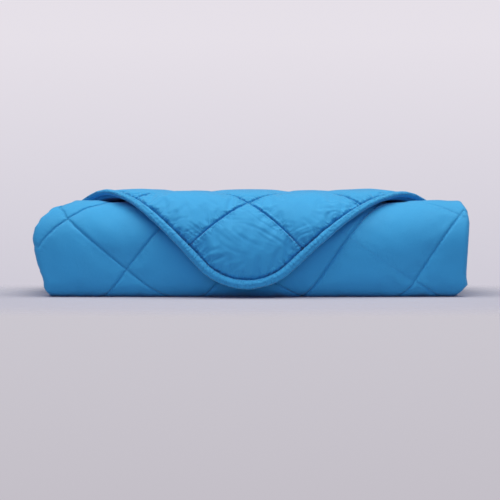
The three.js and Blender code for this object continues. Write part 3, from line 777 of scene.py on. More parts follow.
class FlatMesh:
    """Polygons on the flat cloth. A corner is a row of u, s, a, b, and equal corners are shared."""

    def __init__(self):
        self.rows = []
        self.polygons = []
        self.known = {}

    def add(self, row, key=None):
        """The number of a corner, which is new unless its key or its flat place is known."""
        if key is None:
            key = (round(float(row[0]), 3), round(float(row[1]), 3))
        if key not in self.known:
            self.known[key] = len(self.rows)
            self.rows.append(tuple(float(v) for v in row))
        return self.known[key]

    def add_polygon(self, ids):
        """Adds a polygon, without corners that follow themselves."""
        ids = [ids[i] for i in range(len(ids)) if ids[i] != ids[i - 1]]
        if len(ids) > 2:
            self.polygons.append(tuple(ids))

    def add_clipped(self, corners, lines):
        """Adds the part of a polygon on the left of some lines. A corner is a row and its key."""
        kept = corners
        for line in lines:
            result = []
            sides = [float(left_of(row[0], row[1], line)) for row, _ in kept]
            for i, (row, key) in enumerate(kept):
                j = (i + 1) % len(kept)
                if sides[i] >= 0:
                    result.append((row, key))
                if sides[i] * sides[j] < 0:
                    share = sides[i] / (sides[i] - sides[j])
                    result.append((lerp(np.asarray(row), np.asarray(kept[j][0]), share), None))
            kept = result
            if not kept:
                return
        self.add_polygon([self.add(row, key) for row, key in kept])

    def array(self):
        """All corners as rows of numbers."""
        return np.array(self.rows, float)

    def boundary(self, start):
        """The corners round the outside, anticlockwise, from the one nearest to a flat point."""
        following = {}
        directed = set()
        for polygon in self.polygons:
            for i, corner in enumerate(polygon):
                directed.add((polygon[i - 1], corner))
        for first, second in directed:
            if (second, first) not in directed:
                following[first] = second
        rows = self.array()
        ids = list(following)
        distance = np.hypot(rows[ids, 0] - start[0], rows[ids, 1] - start[1])
        first = ids[int(np.argmin(distance))]
        ring = [first]
        while following[ring[-1]] != first:
            ring.append(following[ring[-1]])
        return ring


def zipped(first, second, first_keys, second_keys):
    """Triangles between two rows that run the same way, the second on the first's left.

    The keys say how far along each row its corners lie.
    """
    triangles = []
    i = 0
    j = 0
    while i < len(first) - 1 or j < len(second) - 1:
        first_ended = i == len(first) - 1
        second_ended = j == len(second) - 1
        if second_ended or (not first_ended and first_keys[i + 1] <= second_keys[j + 1]):
            triangles.append((first[i], first[i + 1], second[j]))
            i += 1
        else:
            triangles.append((first[i], second[j + 1], second[j]))
            j += 1
    return triangles


def lattice_shares():
    """Places of the fine steps across all the squares, closer beside the seams."""
    step = np.arange(SQUARES * FINE + 1) / FINE
    return step - CROWD * np.sin(2 * math.pi * step) / (2 * math.pi)


def quilted_face():
    """The outer face as far as it shows: fine squares on the flap, and coarser ones on the roll."""
    mesh = FlatMesh()
    lines = OUTLINE_LINES + [QUILTED_END]
    shares = lattice_shares()
    a, b = np.meshgrid(shares, shares, indexing="ij")
    u, s = on_cloth(a, b)
    edge = FINE_SQUARES * FINE
    fine = np.zeros(a.shape, bool)
    fine[:edge + 1, :edge + 1] = True
    u_fine, s_fine = snapped(u, s, lines, SNAP_FINE)
    u_coarse, s_coarse = snapped(u, s, lines, SNAP_COARSE)
    u = np.where(fine, u_fine, u_coarse)
    s = np.where(fine, s_fine, s_coarse)
    sides = np.stack([left_of(u, s, line) for line in lines])
    inside = sides.min(axis=0) >= 0

    def corner(i, j):
        return (u[i, j], s[i, j], a[i, j], b[i, j]), (i, j, "lattice")

    def add_cell(ids):
        i, j = np.array(ids).T
        if inside[i, j].all():
            mesh.add_polygon([mesh.add(*corner(*pair)) for pair in ids])
        elif (sides[:, i, j].max(axis=1) > 0).all():
            mesh.add_clipped([corner(*pair) for pair in ids], lines)

    for i in range(edge):
        for j in range(edge):
            add_cell([(i + 1, j), (i + 1, j + 1), (i, j + 1), (i, j)])
    near = sides.min(axis=0) > -2 * SQUARE / FINE * COARSE
    for i in range(0, SQUARES * FINE, COARSE):
        for j in range(0, SQUARES * FINE, COARSE):
            if (i < edge and j < edge) or not near[i, j]:
                continue
            p, q = i + COARSE, j + COARSE
            ids = [(p, j), (p, q), (i, q)]
            if i == edge and j < edge:
                ids += [(i, j + k) for k in range(COARSE - 1, 0, -1)]
            ids += [(i, j)]
            if j == edge and i < edge:
                ids += [(i + k, j) for k in range(1, COARSE)]
            add_cell(ids)
    return mesh


def row_places(start, step):
    """Places along the cloth of its plain rows of points, closer in the bends."""
    places = []
    for i, piece in enumerate(OUTER.pieces):
        if piece["bend"]:
            count = max(round(math.pi / 2 / BEND_STEP), math.ceil(piece["length"] / step))
        else:
            count = max(math.ceil(piece["length"] / step), 1)
        places += list(lerp(OUTER.starts[i], OUTER.starts[i + 1], np.arange(count) / count))
    places.append(CLOTH_LENGTH)
    return [s for s in places if s > start]


def plain_row(s, columns):
    """Corners across the plain cloth at s, which have no place in the quilting."""
    shares = [-share for share in reversed(columns[1:])] + columns
    return [(share * HALF, s, -1.0, -1.0) for share in shares]


def outer_face():
    """The whole outer face: the quilted part and, from there inwards, plain rows."""
    mesh = quilted_face()
    ring = mesh.boundary((-HALF, QUILTED_TO))
    rows = mesh.array()
    turn = next(i for i, c in enumerate(ring)
                if abs(rows[c, 0] - HALF) < NEAR and abs(rows[c, 1] - QUILTED_TO) < NEAR)
    row = list(reversed(ring[turn:] + ring[:1]))
    keys = [rows[c, 0] for c in row]
    for s in row_places(QUILTED_TO + SNAP_COARSE, HIDDEN_STEP):
        points = plain_row(s, HIDDEN_COLUMNS)
        following = [mesh.add(point) for point in points]
        following_keys = [point[0] for point in points]
        if len(row) == len(following):
            for i in range(len(row) - 1):
                mesh.add_polygon([row[i], row[i + 1], following[i + 1], following[i]])
        else:
            for triangle in zipped(row, following, keys, following_keys):
                mesh.add_polygon(triangle)
        row, keys = following, following_keys
    return mesh


def lining_face():
    """The inner face, which hardly shows, as plain rows."""
    mesh = FlatMesh()
    row = plain_row(0, LINING_COLUMNS)
    fold_start = max(LEFT_FOLD_START, RIGHT_FOLD_START)
    for s in row_places(0, LINING_STEP):
        following = plain_row(s, LINING_COLUMNS)
        for i in range(len(row) - 1):
            cell = [row[i], row[i + 1], following[i + 1], following[i]]
            if row[0][1] > fold_start:
                mesh.add_polygon([mesh.add(point) for point in cell])
            else:
                mesh.add_clipped([(point, None) for point in cell], OUTLINE_LINES)
        row = following
    return mesh


def outline_place(rows):
    """How far round the outline each of some flat points on it lies."""
    places = np.zeros(len(rows))
    found = np.zeros(len(rows), bool)
    passed = 0.0
    for line in OUTLINE_LINES:
        (u0, s0), (u1, s1) = line
        length = math.hypot(u1 - u0, s1 - s0)
        along = ((rows[:, 0] - u0) * (u1 - u0) + (rows[:, 1] - s0) * (s1 - s0)) / length
        beside = np.abs(left_of(rows[:, 0], rows[:, 1], line))
        here = (beside < NEAR) & (along > -NEAR) & (along < length - NEAR) & ~found
        places[here] = passed + along[here]
        found |= here
        passed += length
    return places


# ---- the filling, simulated as stitched cloth ----

def sheet_to_fill(places, faces, weights):
    """A sheet of cloth with named weights for its points."""
    mesh = bpy.data.meshes.new("filling")
    mesh.from_pydata(places.tolist(), [], faces.tolist())
    sheet = new_object("filling", mesh)
    for name, values in weights.items():
        group = sheet.vertex_groups.new(name=name)
        for index, value in enumerate(values):
            group.add([index], float(value), "REPLACE")
    return sheet


def simulated(filling, sheet, slack):
    """Places of a sheet's points, in metres, once the filling has pushed it out."""
    modifier = sheet.modifiers.new("Filling", "CLOTH")
    cloth = modifier.settings
    for name, value in CLOTH_SETTINGS.items():
        setattr(cloth, name, value)
    cloth.quality = filling.quality
    cloth.bending_stiffness = filling.bending
    cloth.pin_stiffness = filling.hold
    cloth.uniform_pressure_force = filling.pressure
    cloth.shrink_min = -slack
    cloth.effector_weights.gravity = 0
    modifier.collision_settings.use_collision = False
    modifier.collision_settings.use_self_collision = False
    modifier.point_cache.frame_start = 1
    modifier.point_cache.frame_end = filling.frames
    scene = bpy.context.scene
    for number in range(1, filling.frames + 1):
        scene.frame_set(number)
    graph = bpy.context.evaluated_depsgraph_get()
    result = sheet.evaluated_get(graph).to_mesh()
    moved = np.empty(len(result.vertices) * 3, np.float32)
    result.vertices.foreach_get("co", moved)
    scene.frame_set(1)
    return moved.reshape(-1, 3)


def filled(filling, squares, steps, hold_between, slack, limit):
    """Moves of the outer face, as a grid over a and b, once the filling has pushed it out."""
    count = squares * steps + 1
    moves = np.zeros((count, count, 3))
    shares = np.arange(count) / steps
    a, b = (grid.ravel() for grid in np.meshgrid(shares, shares, indexing="ij"))
    u, s = on_cloth(a, b)
    fits = (np.abs(u) < HALF + FILLED_PAST_END) & (s < QUILTED_TO) & (s > 0)
    used = fits.reshape(count, count)
    cells = used[:-1, :-1] & used[1:, :-1] & used[1:, 1:] & used[:-1, 1:]
    i, j = np.nonzero(cells)
    ids = np.arange(count * count).reshape(count, count)
    quads = np.stack([ids[i + 1, j], ids[i + 1, j + 1], ids[i, j + 1], ids[i, j]], axis=1)
    kept, faces = np.unique(quads, return_inverse=True)
    faces = faces.reshape(-1, 4)
    sunk = seam_depth(s) * relief(a, b)
    rim, _ = rim_distance(a, b)
    first = seam_distances(a)[0] + 1 - seam_strength(a, b)
    seam = np.minimum(np.minimum(first, seam_distances(b)[0]), rim)
    lumps = START_LUMPS * value_noise(u / START_LUMP_SIZE, s / START_LUMP_SIZE, START_LUMP_SEED)
    start = sunk + lumps * smoothstep(seam, 0, 0.1)
    base = place(u[kept], s[kept], start[kept]) * MM
    rest = place(u[kept], s[kept], sunk[kept]) * MM

    at_fold = smoothstep(np.abs(u), HALF - TAUT_FROM, HALF - TAUT_AT)
    at_last = smoothstep(s, QUILTED_TO - HELD_FROM, QUILTED_TO - HELD_AT)
    hold = np.where(seam < STITCH_REACH / steps, 1.0, hold_between)
    hold = np.maximum(hold, np.maximum(at_fold, at_last))
    sheet = sheet_to_fill(base, faces, {"stitched": hold[kept], "taut": at_fold[kept]})
    moves.reshape(-1, 3)[kept] = simulated(filling, sheet, slack) - rest
    mesh = sheet.data
    bpy.data.objects.remove(sheet, do_unlink=True)
    bpy.data.meshes.remove(mesh)
    size = np.linalg.norm(moves, axis=2, keepdims=True)
    return moves * np.minimum(1, limit / np.maximum(size, 1e-9))


def filling_moves(filling, a, b):
    """The filling's push at any a and b: the flap's own, and the roll's beyond it."""
    flap = filled(
        filling, FINE_SQUARES, FLAP_SIM_STEPS, filling.flap_hold, filling.flap_slack, filling.flap_limit)
    roll = filled(
        filling, SQUARES, ROLL_SIM_STEPS, filling.roll_hold, filling.roll_slack, filling.roll_limit)
    on_flap = ((a < FINE_SQUARES) & (b < FINE_SQUARES))[:, None]
    calm = lerp(1, filling.top_share, smoothstep(on_cloth(a, b)[1], *FLAP_TOP))[:, None]
    on_roll = sampled(roll, ROLL_SIM_STEPS, a, b)
    return np.where(on_flap, sampled(flap, FLAP_SIM_STEPS, a, b) * calm, on_roll)


def sampled(grid, steps, a, b):
    """A grid of moves read at any a and b, on a smooth curve through its points."""
    count = grid.shape[0]
    x = np.clip(a * steps, 0, count - 1.001)
    y = np.clip(b * steps, 0, count - 1.001)
    column = np.floor(x).astype(int)
    row = np.floor(y).astype(int)

    def weights(t):
        return [
            -0.5 * t + t * t - 0.5 * t ** 3,
            1 - 2.5 * t * t + 1.5 * t ** 3,
            0.5 * t + 2 * t * t - 1.5 * t ** 3,
            -0.5 * t * t + 0.5 * t ** 3,
        ]

    total = np.zeros((len(a), grid.shape[2]))
    for i, wx in enumerate(weights(x - column)):
        for j, wy in enumerate(weights(y - row)):
            c = np.clip(column + i - 1, 0, count - 1)
            r = np.clip(row + j - 1, 0, count - 1)
            total += grid[c, r] * (wx * wy)[:, None]
    return total


# ---- making objects ----

def new_object(name, data):
    """An object in the scene."""
    made = bpy.data.objects.new(name, data)
    bpy.context.scene.collection.objects.link(made)
    return made


def make_mesh(name, points, polygons, uvs):
    """A smooth mesh object with a UV map in metres of flat cloth."""
    mesh = bpy.data.meshes.new(name)
    mesh.from_pydata(points.tolist(), [], polygons)
    mesh.update()
    mesh.shade_smooth()
    layer = mesh.uv_layers.new(name="cloth")
    loops = np.empty(len(mesh.loops), np.int32)
    mesh.loops.foreach_get("vertex_index", loops)
    layer.data.foreach_set("uv", uvs.astype(np.float32)[loops].ravel())
    return new_object(name, mesh)


def store(piece, name, first, second, third):
    """Keeps three numbers for each vertex, which the materials read."""
    attribute = piece.data.attributes.new(name, "FLOAT_VECTOR", "POINT")
    values = np.stack([first, second, third], axis=1).astype(np.float32)
    attribute.data.foreach_set("vector", values.ravel())


def vertex_vectors(piece, name):
    """A vector of each vertex: its place, co, or its normal."""
    flat = np.empty(len(piece.data.vertices) * 3, np.float32)
    piece.data.vertices.foreach_get(name, flat)
    return flat.reshape(-1, 3)


def frame_shift():
    """The move that brings the worked-out roll to where the frame holds it."""
    front = OUTER_RUNS[0][1]
    back = OUTER_RUNS[2][1]
    middle = (FRAME_LOW.y + FRAME_HIGH.y) / 2 / MM
    return np.array([0, middle - (front + back) / 2 + ROLL_SHIFT_Y, 0])


# ---- the quilt ----

def small_folds(rows):
    """Depth of the grooves and small folds on the outer face, in millimetres."""
    u, s, a, b = rows.T
    at_end = 1 - smoothstep(np.abs(u), HALF - FOLDS_FADE, HALF)
    a = np.maximum(a, 0)
    b = np.maximum(b, 0)
    on_flap = flap_share(s)
    rim, rim_along = rim_distance(a, b)
    rim_mm = rim * SQUARE
    zero = np.zeros(len(a))
    depth = RIM_GATHER * on_flap * gathers(rim_along * SQUARE, rim_mm, zero, *RIM_GATHER_SIZE)
    depth += RIM_GROOVE * on_flap * np.exp(-((rim_mm - RIM_GROOVE_AT) / RIM_GROOVE_WIDTH) ** 2)
    for number, (value, other) in enumerate(((a, b), (b, a))):
        distance, nearest = seam_distances(value)
        side = 2 * nearest + (value > nearest) + 40 * (number + 1)
        drawn = gathers(other * SQUARE, distance * SQUARE, side, *SEAM_GATHER_SIZE)
        drawn *= dome(seam_distances(other)[0], FLAP_POWER)
        depth += lerp(ROLL_GATHER, FLAP_GATHER, on_flap) * drawn
    across_a = seam_distances(a)[0] * SQUARE
    across_b = seam_distances(b)[0] * SQUARE
    deep = 1 + DEEP_SHARE * (np.abs(b - DEEP_SEAM) < 0.5) * smoothstep(a, *DEEP_FROM)
    cut = np.maximum(np.exp(-(across_a / GROOVE_WIDTH) ** 2) * seam_strength(a, b),
                     np.exp(-(across_b / GROOVE_WIDTH) ** 2) * deep)
    depth += lerp(GROOVE_ON_ROLL, GROOVE, on_flap) * cut
    depth += fold_depth(a, b)
    return depth * lerp(FOLDS_AT_END, 1, at_end)


def outer_places(filling, rows):
    """How deep the outer face's points sink, in millimetres, and where they lie once filled."""
    u, s, a, b = rows.T
    quilted = a >= 0
    fade = 1 - smoothstep(s, QUILTED_TO - QUILTED_FADE, QUILTED_TO)
    level = relief(np.maximum(a, 0), np.maximum(b, 0))
    near_end = smoothstep(np.abs(u), HALF - END_REACH, HALF - END_FLAT)
    near_end = near_end * smoothstep(s, DRAW_START, DRAW_FULL)
    level = lerp(level, END_LEVEL, END_CALM * near_end)
    shaped = seam_depth(s) * level + small_folds(rows)
    sunk = np.where(quilted, shaped * fade, 0)
    inside_fold = 1 - smoothstep(np.abs(u), HALF - PUSH_FADE, HALF)
    pushed = filling_moves(filling, np.maximum(a, 0), np.maximum(b, 0))
    pushed *= (np.where(quilted, fade, 0) * inside_fold)[:, None]
    return sunk, place(u, s, sunk) * MM + pushed


def rim_places(u, s, sunk):
    """Rings of places round the cloth's edge, from its outer face to its inner one."""
    on_fold = np.abs(np.abs(u) - HALF) < NEAR
    past = s - np.where(u < 0, LEFT_FOLD_START, RIGHT_FOLD_START)
    grown = np.where(on_fold, smoothstep(past, 0, BULGE_START), 0)
    notch = np.where(on_fold, np.clip(sunk / np.maximum(seam_depth(s), 1), 0, 1), 0)
    rings = []
    for k in range(1, RIM_RINGS):
        share = (1 - math.cos(math.pi * k / RIM_RINGS)) / 2
        swell = math.sqrt(1 - (2 * share - 1) ** 2)
        depth = thickness(s) * share + sunk * (1 - share) ** 3
        bulge = FOLD_BULGE * grown * swell * (1 - END_NOTCH * notch)
        rings.append(place(u, s, depth, bulge) * MM)
    return rings


def quilt_shape(filling):
    """Vertices, polygons and flat coordinates of the whole quilt, and its outer face's size."""
    outer = outer_face()
    rows = outer.array()
    sunk, places = outer_places(filling, rows)
    points = [places]
    flats = [rows]
    polygons = list(outer.polygons)

    ring = outer.boundary(OUTLINE[0])
    ring_rows = rows[ring]
    previous = ring
    base = len(rows)
    for places in rim_places(ring_rows[:, 0], ring_rows[:, 1], sunk[ring]):
        points.append(places)
        flats.append(ring_rows)
        current = list(range(base, base + len(ring)))
        for i in range(len(ring)):
            polygons.append((current[i - 1], current[i], previous[i], previous[i - 1]))
        previous = current
        base += len(ring)

    lining = lining_face()
    lining_rows = lining.array()
    lining_depth = thickness(lining_rows[:, 1])
    points.append(place(lining_rows[:, 0], lining_rows[:, 1], lining_depth) * MM)
    flats.append(lining_rows)
    for polygon in lining.polygons:
        polygons.append(tuple(base + c for c in reversed(polygon)))
    lining_ring = lining.boundary(OUTLINE[0])
    first = [base + c for c in lining_ring] + [base + lining_ring[0]]
    first_keys = list(outline_place(lining_rows[lining_ring])) + [math.inf]
    second_keys = list(outline_place(ring_rows)) + [math.inf]
    polygons += zipped(first, previous + previous[:1], first_keys, second_keys)
    return np.concatenate(points), polygons, np.concatenate(flats), len(rows)


def make_quilt(filling):
    """The quilt with what its materials read, its flat coordinates and its outer face's size."""
    points, polygons, flats, outer_count = quilt_shape(filling)
    points += frame_shift() * MM
    points[:, 2] = np.maximum(points[:, 2], 0)
    uvs = flats[:, :2] * MM
    piece = make_mesh("quilted_blanket", points, polygons, uvs)
    _, s, a, b = flats.T
    quilted = (a >= 0) & (np.arange(len(flats)) < outer_count)
    rim, rim_along = rim_distance(np.maximum(a, 0), np.maximum(b, 0))
    on_flap = flap_share(s)
    store(piece, "seams", a, b, quilted * lerp(PLEATS_ON_ROLL, 1, on_flap))
    store(piece, "rim", rim, rim_along, quilted * on_flap)
    cut = quilted * lerp(1, LINE_ON_FLAP, on_flap)
    store(piece, "lines", cut * seam_strength(a, b), cut, cut)
    return piece, flats, outer_count


# ---- the binding ----

def binding_stations(step):
    """Flat points on the bound edge and the flat direction away from the quilt at each."""
    reach = SEAM_GAP + BINDING_WIDTH
    left = (HALF + CORNER_U - reach * RIGHT_EDGE[0]) / -LEFT_EDGE[0]
    right = (HALF - CORNER_U + reach * LEFT_EDGE[0]) / RIGHT_EDGE[0]
    rows = []
    for b in np.linspace(left, CORNER_RADIUS, math.ceil((left - CORNER_RADIUS) / step), False):
        rows.append((0, b, -1, 0))
    for angle in np.linspace(0, math.pi / 2, math.ceil(CORNER_RADIUS * math.pi / 2 / step)):
        out_a, out_b = -math.cos(angle), -math.sin(angle)
        rows.append((CORNER_RADIUS * (1 + out_a), CORNER_RADIUS * (1 + out_b), out_a, out_b))
    for a in np.linspace(right, CORNER_RADIUS, math.ceil((right - CORNER_RADIUS) / step), False)[::-1]:
        rows.append((a, 0, 0, -1))
    a, b, out_a, out_b = np.array(rows, float).T
    return (CORNER_U + a * RIGHT_EDGE[0] + b * LEFT_EDGE[0],
            CORNER_S + a * RIGHT_EDGE[1] + b * LEFT_EDGE[1],
            out_a * RIGHT_EDGE[0] + out_b * LEFT_EDGE[0],
            out_a * RIGHT_EDGE[1] + out_b * LEFT_EDGE[1])


def make_binding():
    """The bound edge: a round tape with a fold line along it, drawn a little uneven by its stitches."""
    u, s, out_u, out_s = binding_stations(BINDING_STEP)
    along = np.concatenate([[0], np.cumsum(np.hypot(np.diff(u), np.diff(s)))])
    lane = np.full(len(along), 1.0)
    wander = CREASE_WANDER * value_noise(along / CREASE_WANDER_LENGTH, lane, 11)
    fat = 1 + TAPE_WAVE * value_noise(along / TAPE_WAVE_LENGTH, lane, 12)
    fat = fat * lerp(1, TAPE_ON_TOP, smoothstep(s, *TAPE_TOP))
    tucked = 1 - smoothstep(np.minimum(along, along[-1] - along), 0, TUCK_LENGTH)
    fat = fat * lerp(1, TUCKED_SIZE, tucked)
    rings = []
    uvs = []
    for k in range(BINDING_SIDES):
        angle = k / BINDING_SIDES * 2 * math.pi
        round_lane = lane * (4 + 1.5 * math.cos(angle))
        lump = value_noise(along / TAPE_LUMP_LENGTH + 0.8 * math.sin(angle), round_lane, 5)
        twist = value_noise(along / TAPE_WRINKLE_LENGTH + 1.6 * angle, lane, 13)
        wrinkle = TAPE_WRINKLE * twist * max(0.0, -math.cos(angle))
        uneven = fat * (1 + TAPE_LUMP * lump + wrinkle)
        off = (angle - CREASE_AT - wander + math.pi) % (2 * math.pi) - math.pi
        crease = CREASE_DEPTH * np.exp(-(off / CREASE_WIDE) ** 2)
        reach_out = BINDING_WIDTH / 2 * uneven - crease
        reach_up = BINDING_THICKNESS / 2 * uneven - crease
        out = SEAM_GAP - SEWN_OVER + BINDING_WIDTH / 2 + reach_out * math.cos(angle)
        depth = BINDING_DEPTH - BINDING_RISE - reach_up * math.sin(angle) + TUCK_DEPTH * tucked
        rings.append(place(u + out * out_u, s + out * out_s, depth) * MM)
        uvs.append(np.stack([along, np.full(len(along), angle * BINDING_WIDTH / 2)], axis=1) * MM)
    count = len(along)
    points = np.stack(rings, axis=1).reshape(-1, 3) + frame_shift() * MM
    uvs = np.stack(uvs, axis=1).reshape(-1, 2)
    polygons = []
    for here in range(0, (count - 1) * BINDING_SIDES, BINDING_SIDES):
        there = here + BINDING_SIDES
        for k in range(BINDING_SIDES):
            n = (k + 1) % BINDING_SIDES
            polygons.append((here + k, there + k, there + n, here + n))
    polygons.append(tuple(range(BINDING_SIDES)))
    polygons.append(tuple(reversed(range((count - 1) * BINDING_SIDES, count * BINDING_SIDES))))
    return make_mesh("edge_binding_tube", points, polygons, uvs)


# ---- building nodes ----

def feed(tree, made, inputs):
    """Sets the inputs of a node, each to a value or to another node's output."""
    for name, value in inputs.items():
        if isinstance(value, bpy.types.NodeSocket):
            tree.links.new(value, made.inputs[name])
        else:
            made.inputs[name].default_value = value


def node(tree, kind, inputs=None, **settings):
    """A new node with its settings and inputs."""
    made = tree.nodes.new(kind)
    for name, value in settings.items():
        setattr(made, name, value)
    feed(tree, made, inputs or {})
    return made


def worked_out(tree, operation, *values):
    """The result of one operation on numbers and other nodes' outputs."""
    made = node(tree, "ShaderNodeMath", dict(enumerate(values)), operation=operation)
    return made.outputs["Value"]


def added(tree, values):
    """The sum of some numbers and outputs."""
    total = values[0]
    for value in values[1:]:
        total = worked_out(tree, "ADD", total, value)
    return total


def spread(tree, value, low, high):
    """A value from 0 to 1 spread between two numbers."""
    made = node(tree, "ShaderNodeMapRange", {"Value": value, "To Min": low, "To Max": high})
    return made.outputs["Result"]


def eased(tree, value, start, end, low=0.0, high=1.0):
    """A smooth change from low to high while a value goes from start to end."""
    inputs = {"Value": value, "From Min": start, "From Max": end, "To Min": low, "To Max": high}
    return node(tree, "ShaderNodeMapRange", inputs, interpolation_type="SMOOTHSTEP").outputs["Result"]


def noise(tree, coords, scale, detail, roughness=0.5):
    """Soft noise from 0 to 1."""
    inputs = {"Vector": coords, "Scale": scale, "Detail": detail, "Roughness": roughness}
    return node(tree, "ShaderNodeTexNoise", inputs).outputs["Fac"]


def split_up(tree, vector):
    """The three numbers of a vector."""
    return node(tree, "ShaderNodeSeparateXYZ", {"Vector": vector}).outputs


def new_group(name, inputs, outputs):
    """A shader group. Its inputs have a number each as their default, or None for coordinates."""
    tree = bpy.data.node_groups.new(name, "ShaderNodeTree")
    for socket_name, default in inputs.items():
        kind = "NodeSocketVector" if default is None else "NodeSocketFloat"
        socket = tree.interface.new_socket(socket_name, in_out="INPUT", socket_type=kind)
        if default is not None:
            socket.default_value = default
    for socket_name in outputs:
        tree.interface.new_socket(socket_name, in_out="OUTPUT", socket_type="NodeSocketFloat")
    return tree, node(tree, "NodeGroupInput").outputs, node(tree, "NodeGroupOutput")


def grouped(tree, name, build, inputs):
    """The outputs of a shader group placed in a material, which is built when it is first used."""
    group = bpy.data.node_groups.get(name) or build(name)
    return node(tree, "ShaderNodeGroup", inputs, node_tree=group).outputs


# ---- shader groups ----

def build_weave(name):
    """Plain weave: the height of its threads, and a mask of their crowns."""
    tree, given, result = new_group(
        name, {"Coordinates": None, "Pitch": WEAVE_PITCH}, ["Height", "Crowns"])
    split = split_up(tree, given["Coordinates"])
    waves = []
    for axis in ("X", "Y"):
        turns = worked_out(tree, "DIVIDE", split[axis], given["Pitch"])
        waves.append(worked_out(tree, "SINE", worked_out(tree, "MULTIPLY", turns, math.pi)))
    height = worked_out(tree, "MULTIPLY_ADD", worked_out(tree, "MULTIPLY", *waves), 0.5, 0.5)
    feed(tree, result, {"Height": height, "Crowns": eased(tree, height, *WEAVE_CROWNS)})
    return tree


def build_nap(name):
    """The brushed face: fine fibres, and soft clouds where the fibres lie another way."""
    tree, given, result = new_group(name, {"Coordinates": None}, ["Fibres", "Clouds"])
    coords = given["Coordinates"]
    stretched = node(tree, "ShaderNodeMapping", {"Vector": coords, "Scale": NAP_STRETCH})
    fibres = noise(tree, stretched.outputs["Vector"], NAP_SCALE, 3, 0.6)
    feed(tree, result, {"Fibres": fibres, "Clouds": noise(tree, coords, CLOUD_SCALE, 4, 0.55)})
    return tree


def build_creases(name):
    """Low soft creases that wander over the cloth."""
    tree, given, result = new_group(
        name, {"Coordinates": None, "Scale": CREASE_SCALE}, ["Height"])
    coords = given["Coordinates"]
    inputs = {"Vector": coords, "Scale": given["Scale"], "Detail": 2, "Distortion": 0.6}
    ridges = node(tree, "ShaderNodeTexNoise", inputs, noise_type="RIDGED_MULTIFRACTAL")
    soft = noise(tree, coords, CREASE_SCALE / 2, 2)
    feed(tree, result, {"Height": worked_out(tree, "MULTIPLY", ridges.outputs["Fac"], soft)})
    return tree


def build_pleats(name):
    """Short pleats that stitches draw in: they cross the stitched line and fade out beside it."""
    tree, given, result = new_group(
        name, {"Across": 0.0, "Along": 0.0, "Side": 0.0, "Reach": PLEAT_REACH}, ["Height"])
    spot = node(tree, "ShaderNodeCombineXYZ", {
        "X": worked_out(tree, "MULTIPLY", given["Along"], PLEATS_A_SQUARE),
        "Y": worked_out(tree, "MULTIPLY", given["Across"], PLEAT_SLANT),
        "Z": worked_out(tree, "MULTIPLY", given["Side"], PLEAT_CHANGE),
    })
    waves = noise(tree, spot.outputs["Vector"], 1.0, 1.0)
    off = worked_out(tree, "ABSOLUTE", worked_out(tree, "SUBTRACT", waves, 0.5))
    valley = worked_out(tree, "SUBTRACT", eased(tree, off, 0.0, PLEAT_WIDTH), 1.0)
    fade = eased(tree, given["Across"], 0.0, given["Reach"], 1.0, 0.0)
    feed(tree, result, {"Height": worked_out(tree, "MULTIPLY", valley, fade)})
    return tree


# ---- materials ----

def new_material(name, finish):
    """A material, its node tree and its shader, with the shader's plain inputs set."""
    material = bpy.data.materials.new(name)
    material.use_nodes = True
    shader = material.node_tree.nodes["Principled BSDF"]
    feed(material.node_tree, shader, finish)
    return material, material.node_tree, shader


def read_numbers(tree, name):
    """The three numbers kept for each vertex under a name."""
    kept = node(tree, "ShaderNodeAttribute", attribute_name=name, attribute_type="GEOMETRY")
    return split_up(tree, kept.outputs["Vector"])


def pleats(tree, across, along, side):
    """Height of the pleats beside one stitched line."""
    inputs = {"Across": across, "Along": along, "Side": side}
    return grouped(tree, "drawn_pleats", build_pleats, inputs)["Height"]


def quilt_pleats(tree):
    """Height of the pleats beside both directions of seams and beside the bound edge."""
    place_a, place_b, strength = read_numbers(tree, "seams")
    rim, rim_along, rim_strength = read_numbers(tree, "rim")
    heights = []
    for across, along in ((place_a, place_b), (place_b, place_a)):
        distance = worked_out(tree, "PINGPONG", across, 0.5)
        side = worked_out(tree, "FLOOR", across)
        heights.append(worked_out(tree, "MULTIPLY", pleats(tree, distance, along, side), strength))
    along = worked_out(tree, "ADD", rim_along, RIM_PLEATS_AT)
    beside_rim = pleats(tree, rim, along, worked_out(tree, "FLOOR", rim))
    heights.append(worked_out(tree, "MULTIPLY", beside_rim, rim_strength))
    return added(tree, heights)


def pressed_lines(tree, coords):
    """Height of the narrow line that the stitches press along each seam."""
    place_a, place_b, _strength = read_numbers(tree, "seams")
    cut_a, cut_b, _cut = read_numbers(tree, "lines")
    depths = []
    for across, cut in ((place_a, cut_a), (place_b, cut_b)):
        distance = worked_out(tree, "PINGPONG", across, 0.5)
        dip = eased(tree, distance, 0.0, LINE_REACH, -1.0, 0.0)
        depths.append(worked_out(tree, "MULTIPLY", dip, cut))
    uneven = spread(tree, noise(tree, coords, LINE_CHANGES, 2), *LINE_DEPTHS)
    return worked_out(tree, "MULTIPLY", worked_out(tree, "MINIMUM", *depths), uneven)


def tape_pleats(tree, coords):
    """Height of the little wrinkles across the binding's tape."""
    split = split_up(tree, coords)
    along = worked_out(tree, "DIVIDE", split["X"], SQUARE * MM)
    across = worked_out(tree, "MULTIPLY", split["Y"], TAPE_PLEAT_SHARE)
    return pleats(tree, across, along, worked_out(tree, "MULTIPLY", split["Y"], TAPE_PLEAT_SIDES))


def raised(tree, layers):
    """The normal that heights give, one on top of the other: each has its depth and strength."""
    normal = None
    for height, depth, strength in layers:
        inputs = {"Height": height, "Distance": depth * MM, "Strength": strength}
        if normal is not None:
            inputs["Normal"] = normal
        normal = node(tree, "ShaderNodeBump", inputs).outputs["Normal"]
    return normal


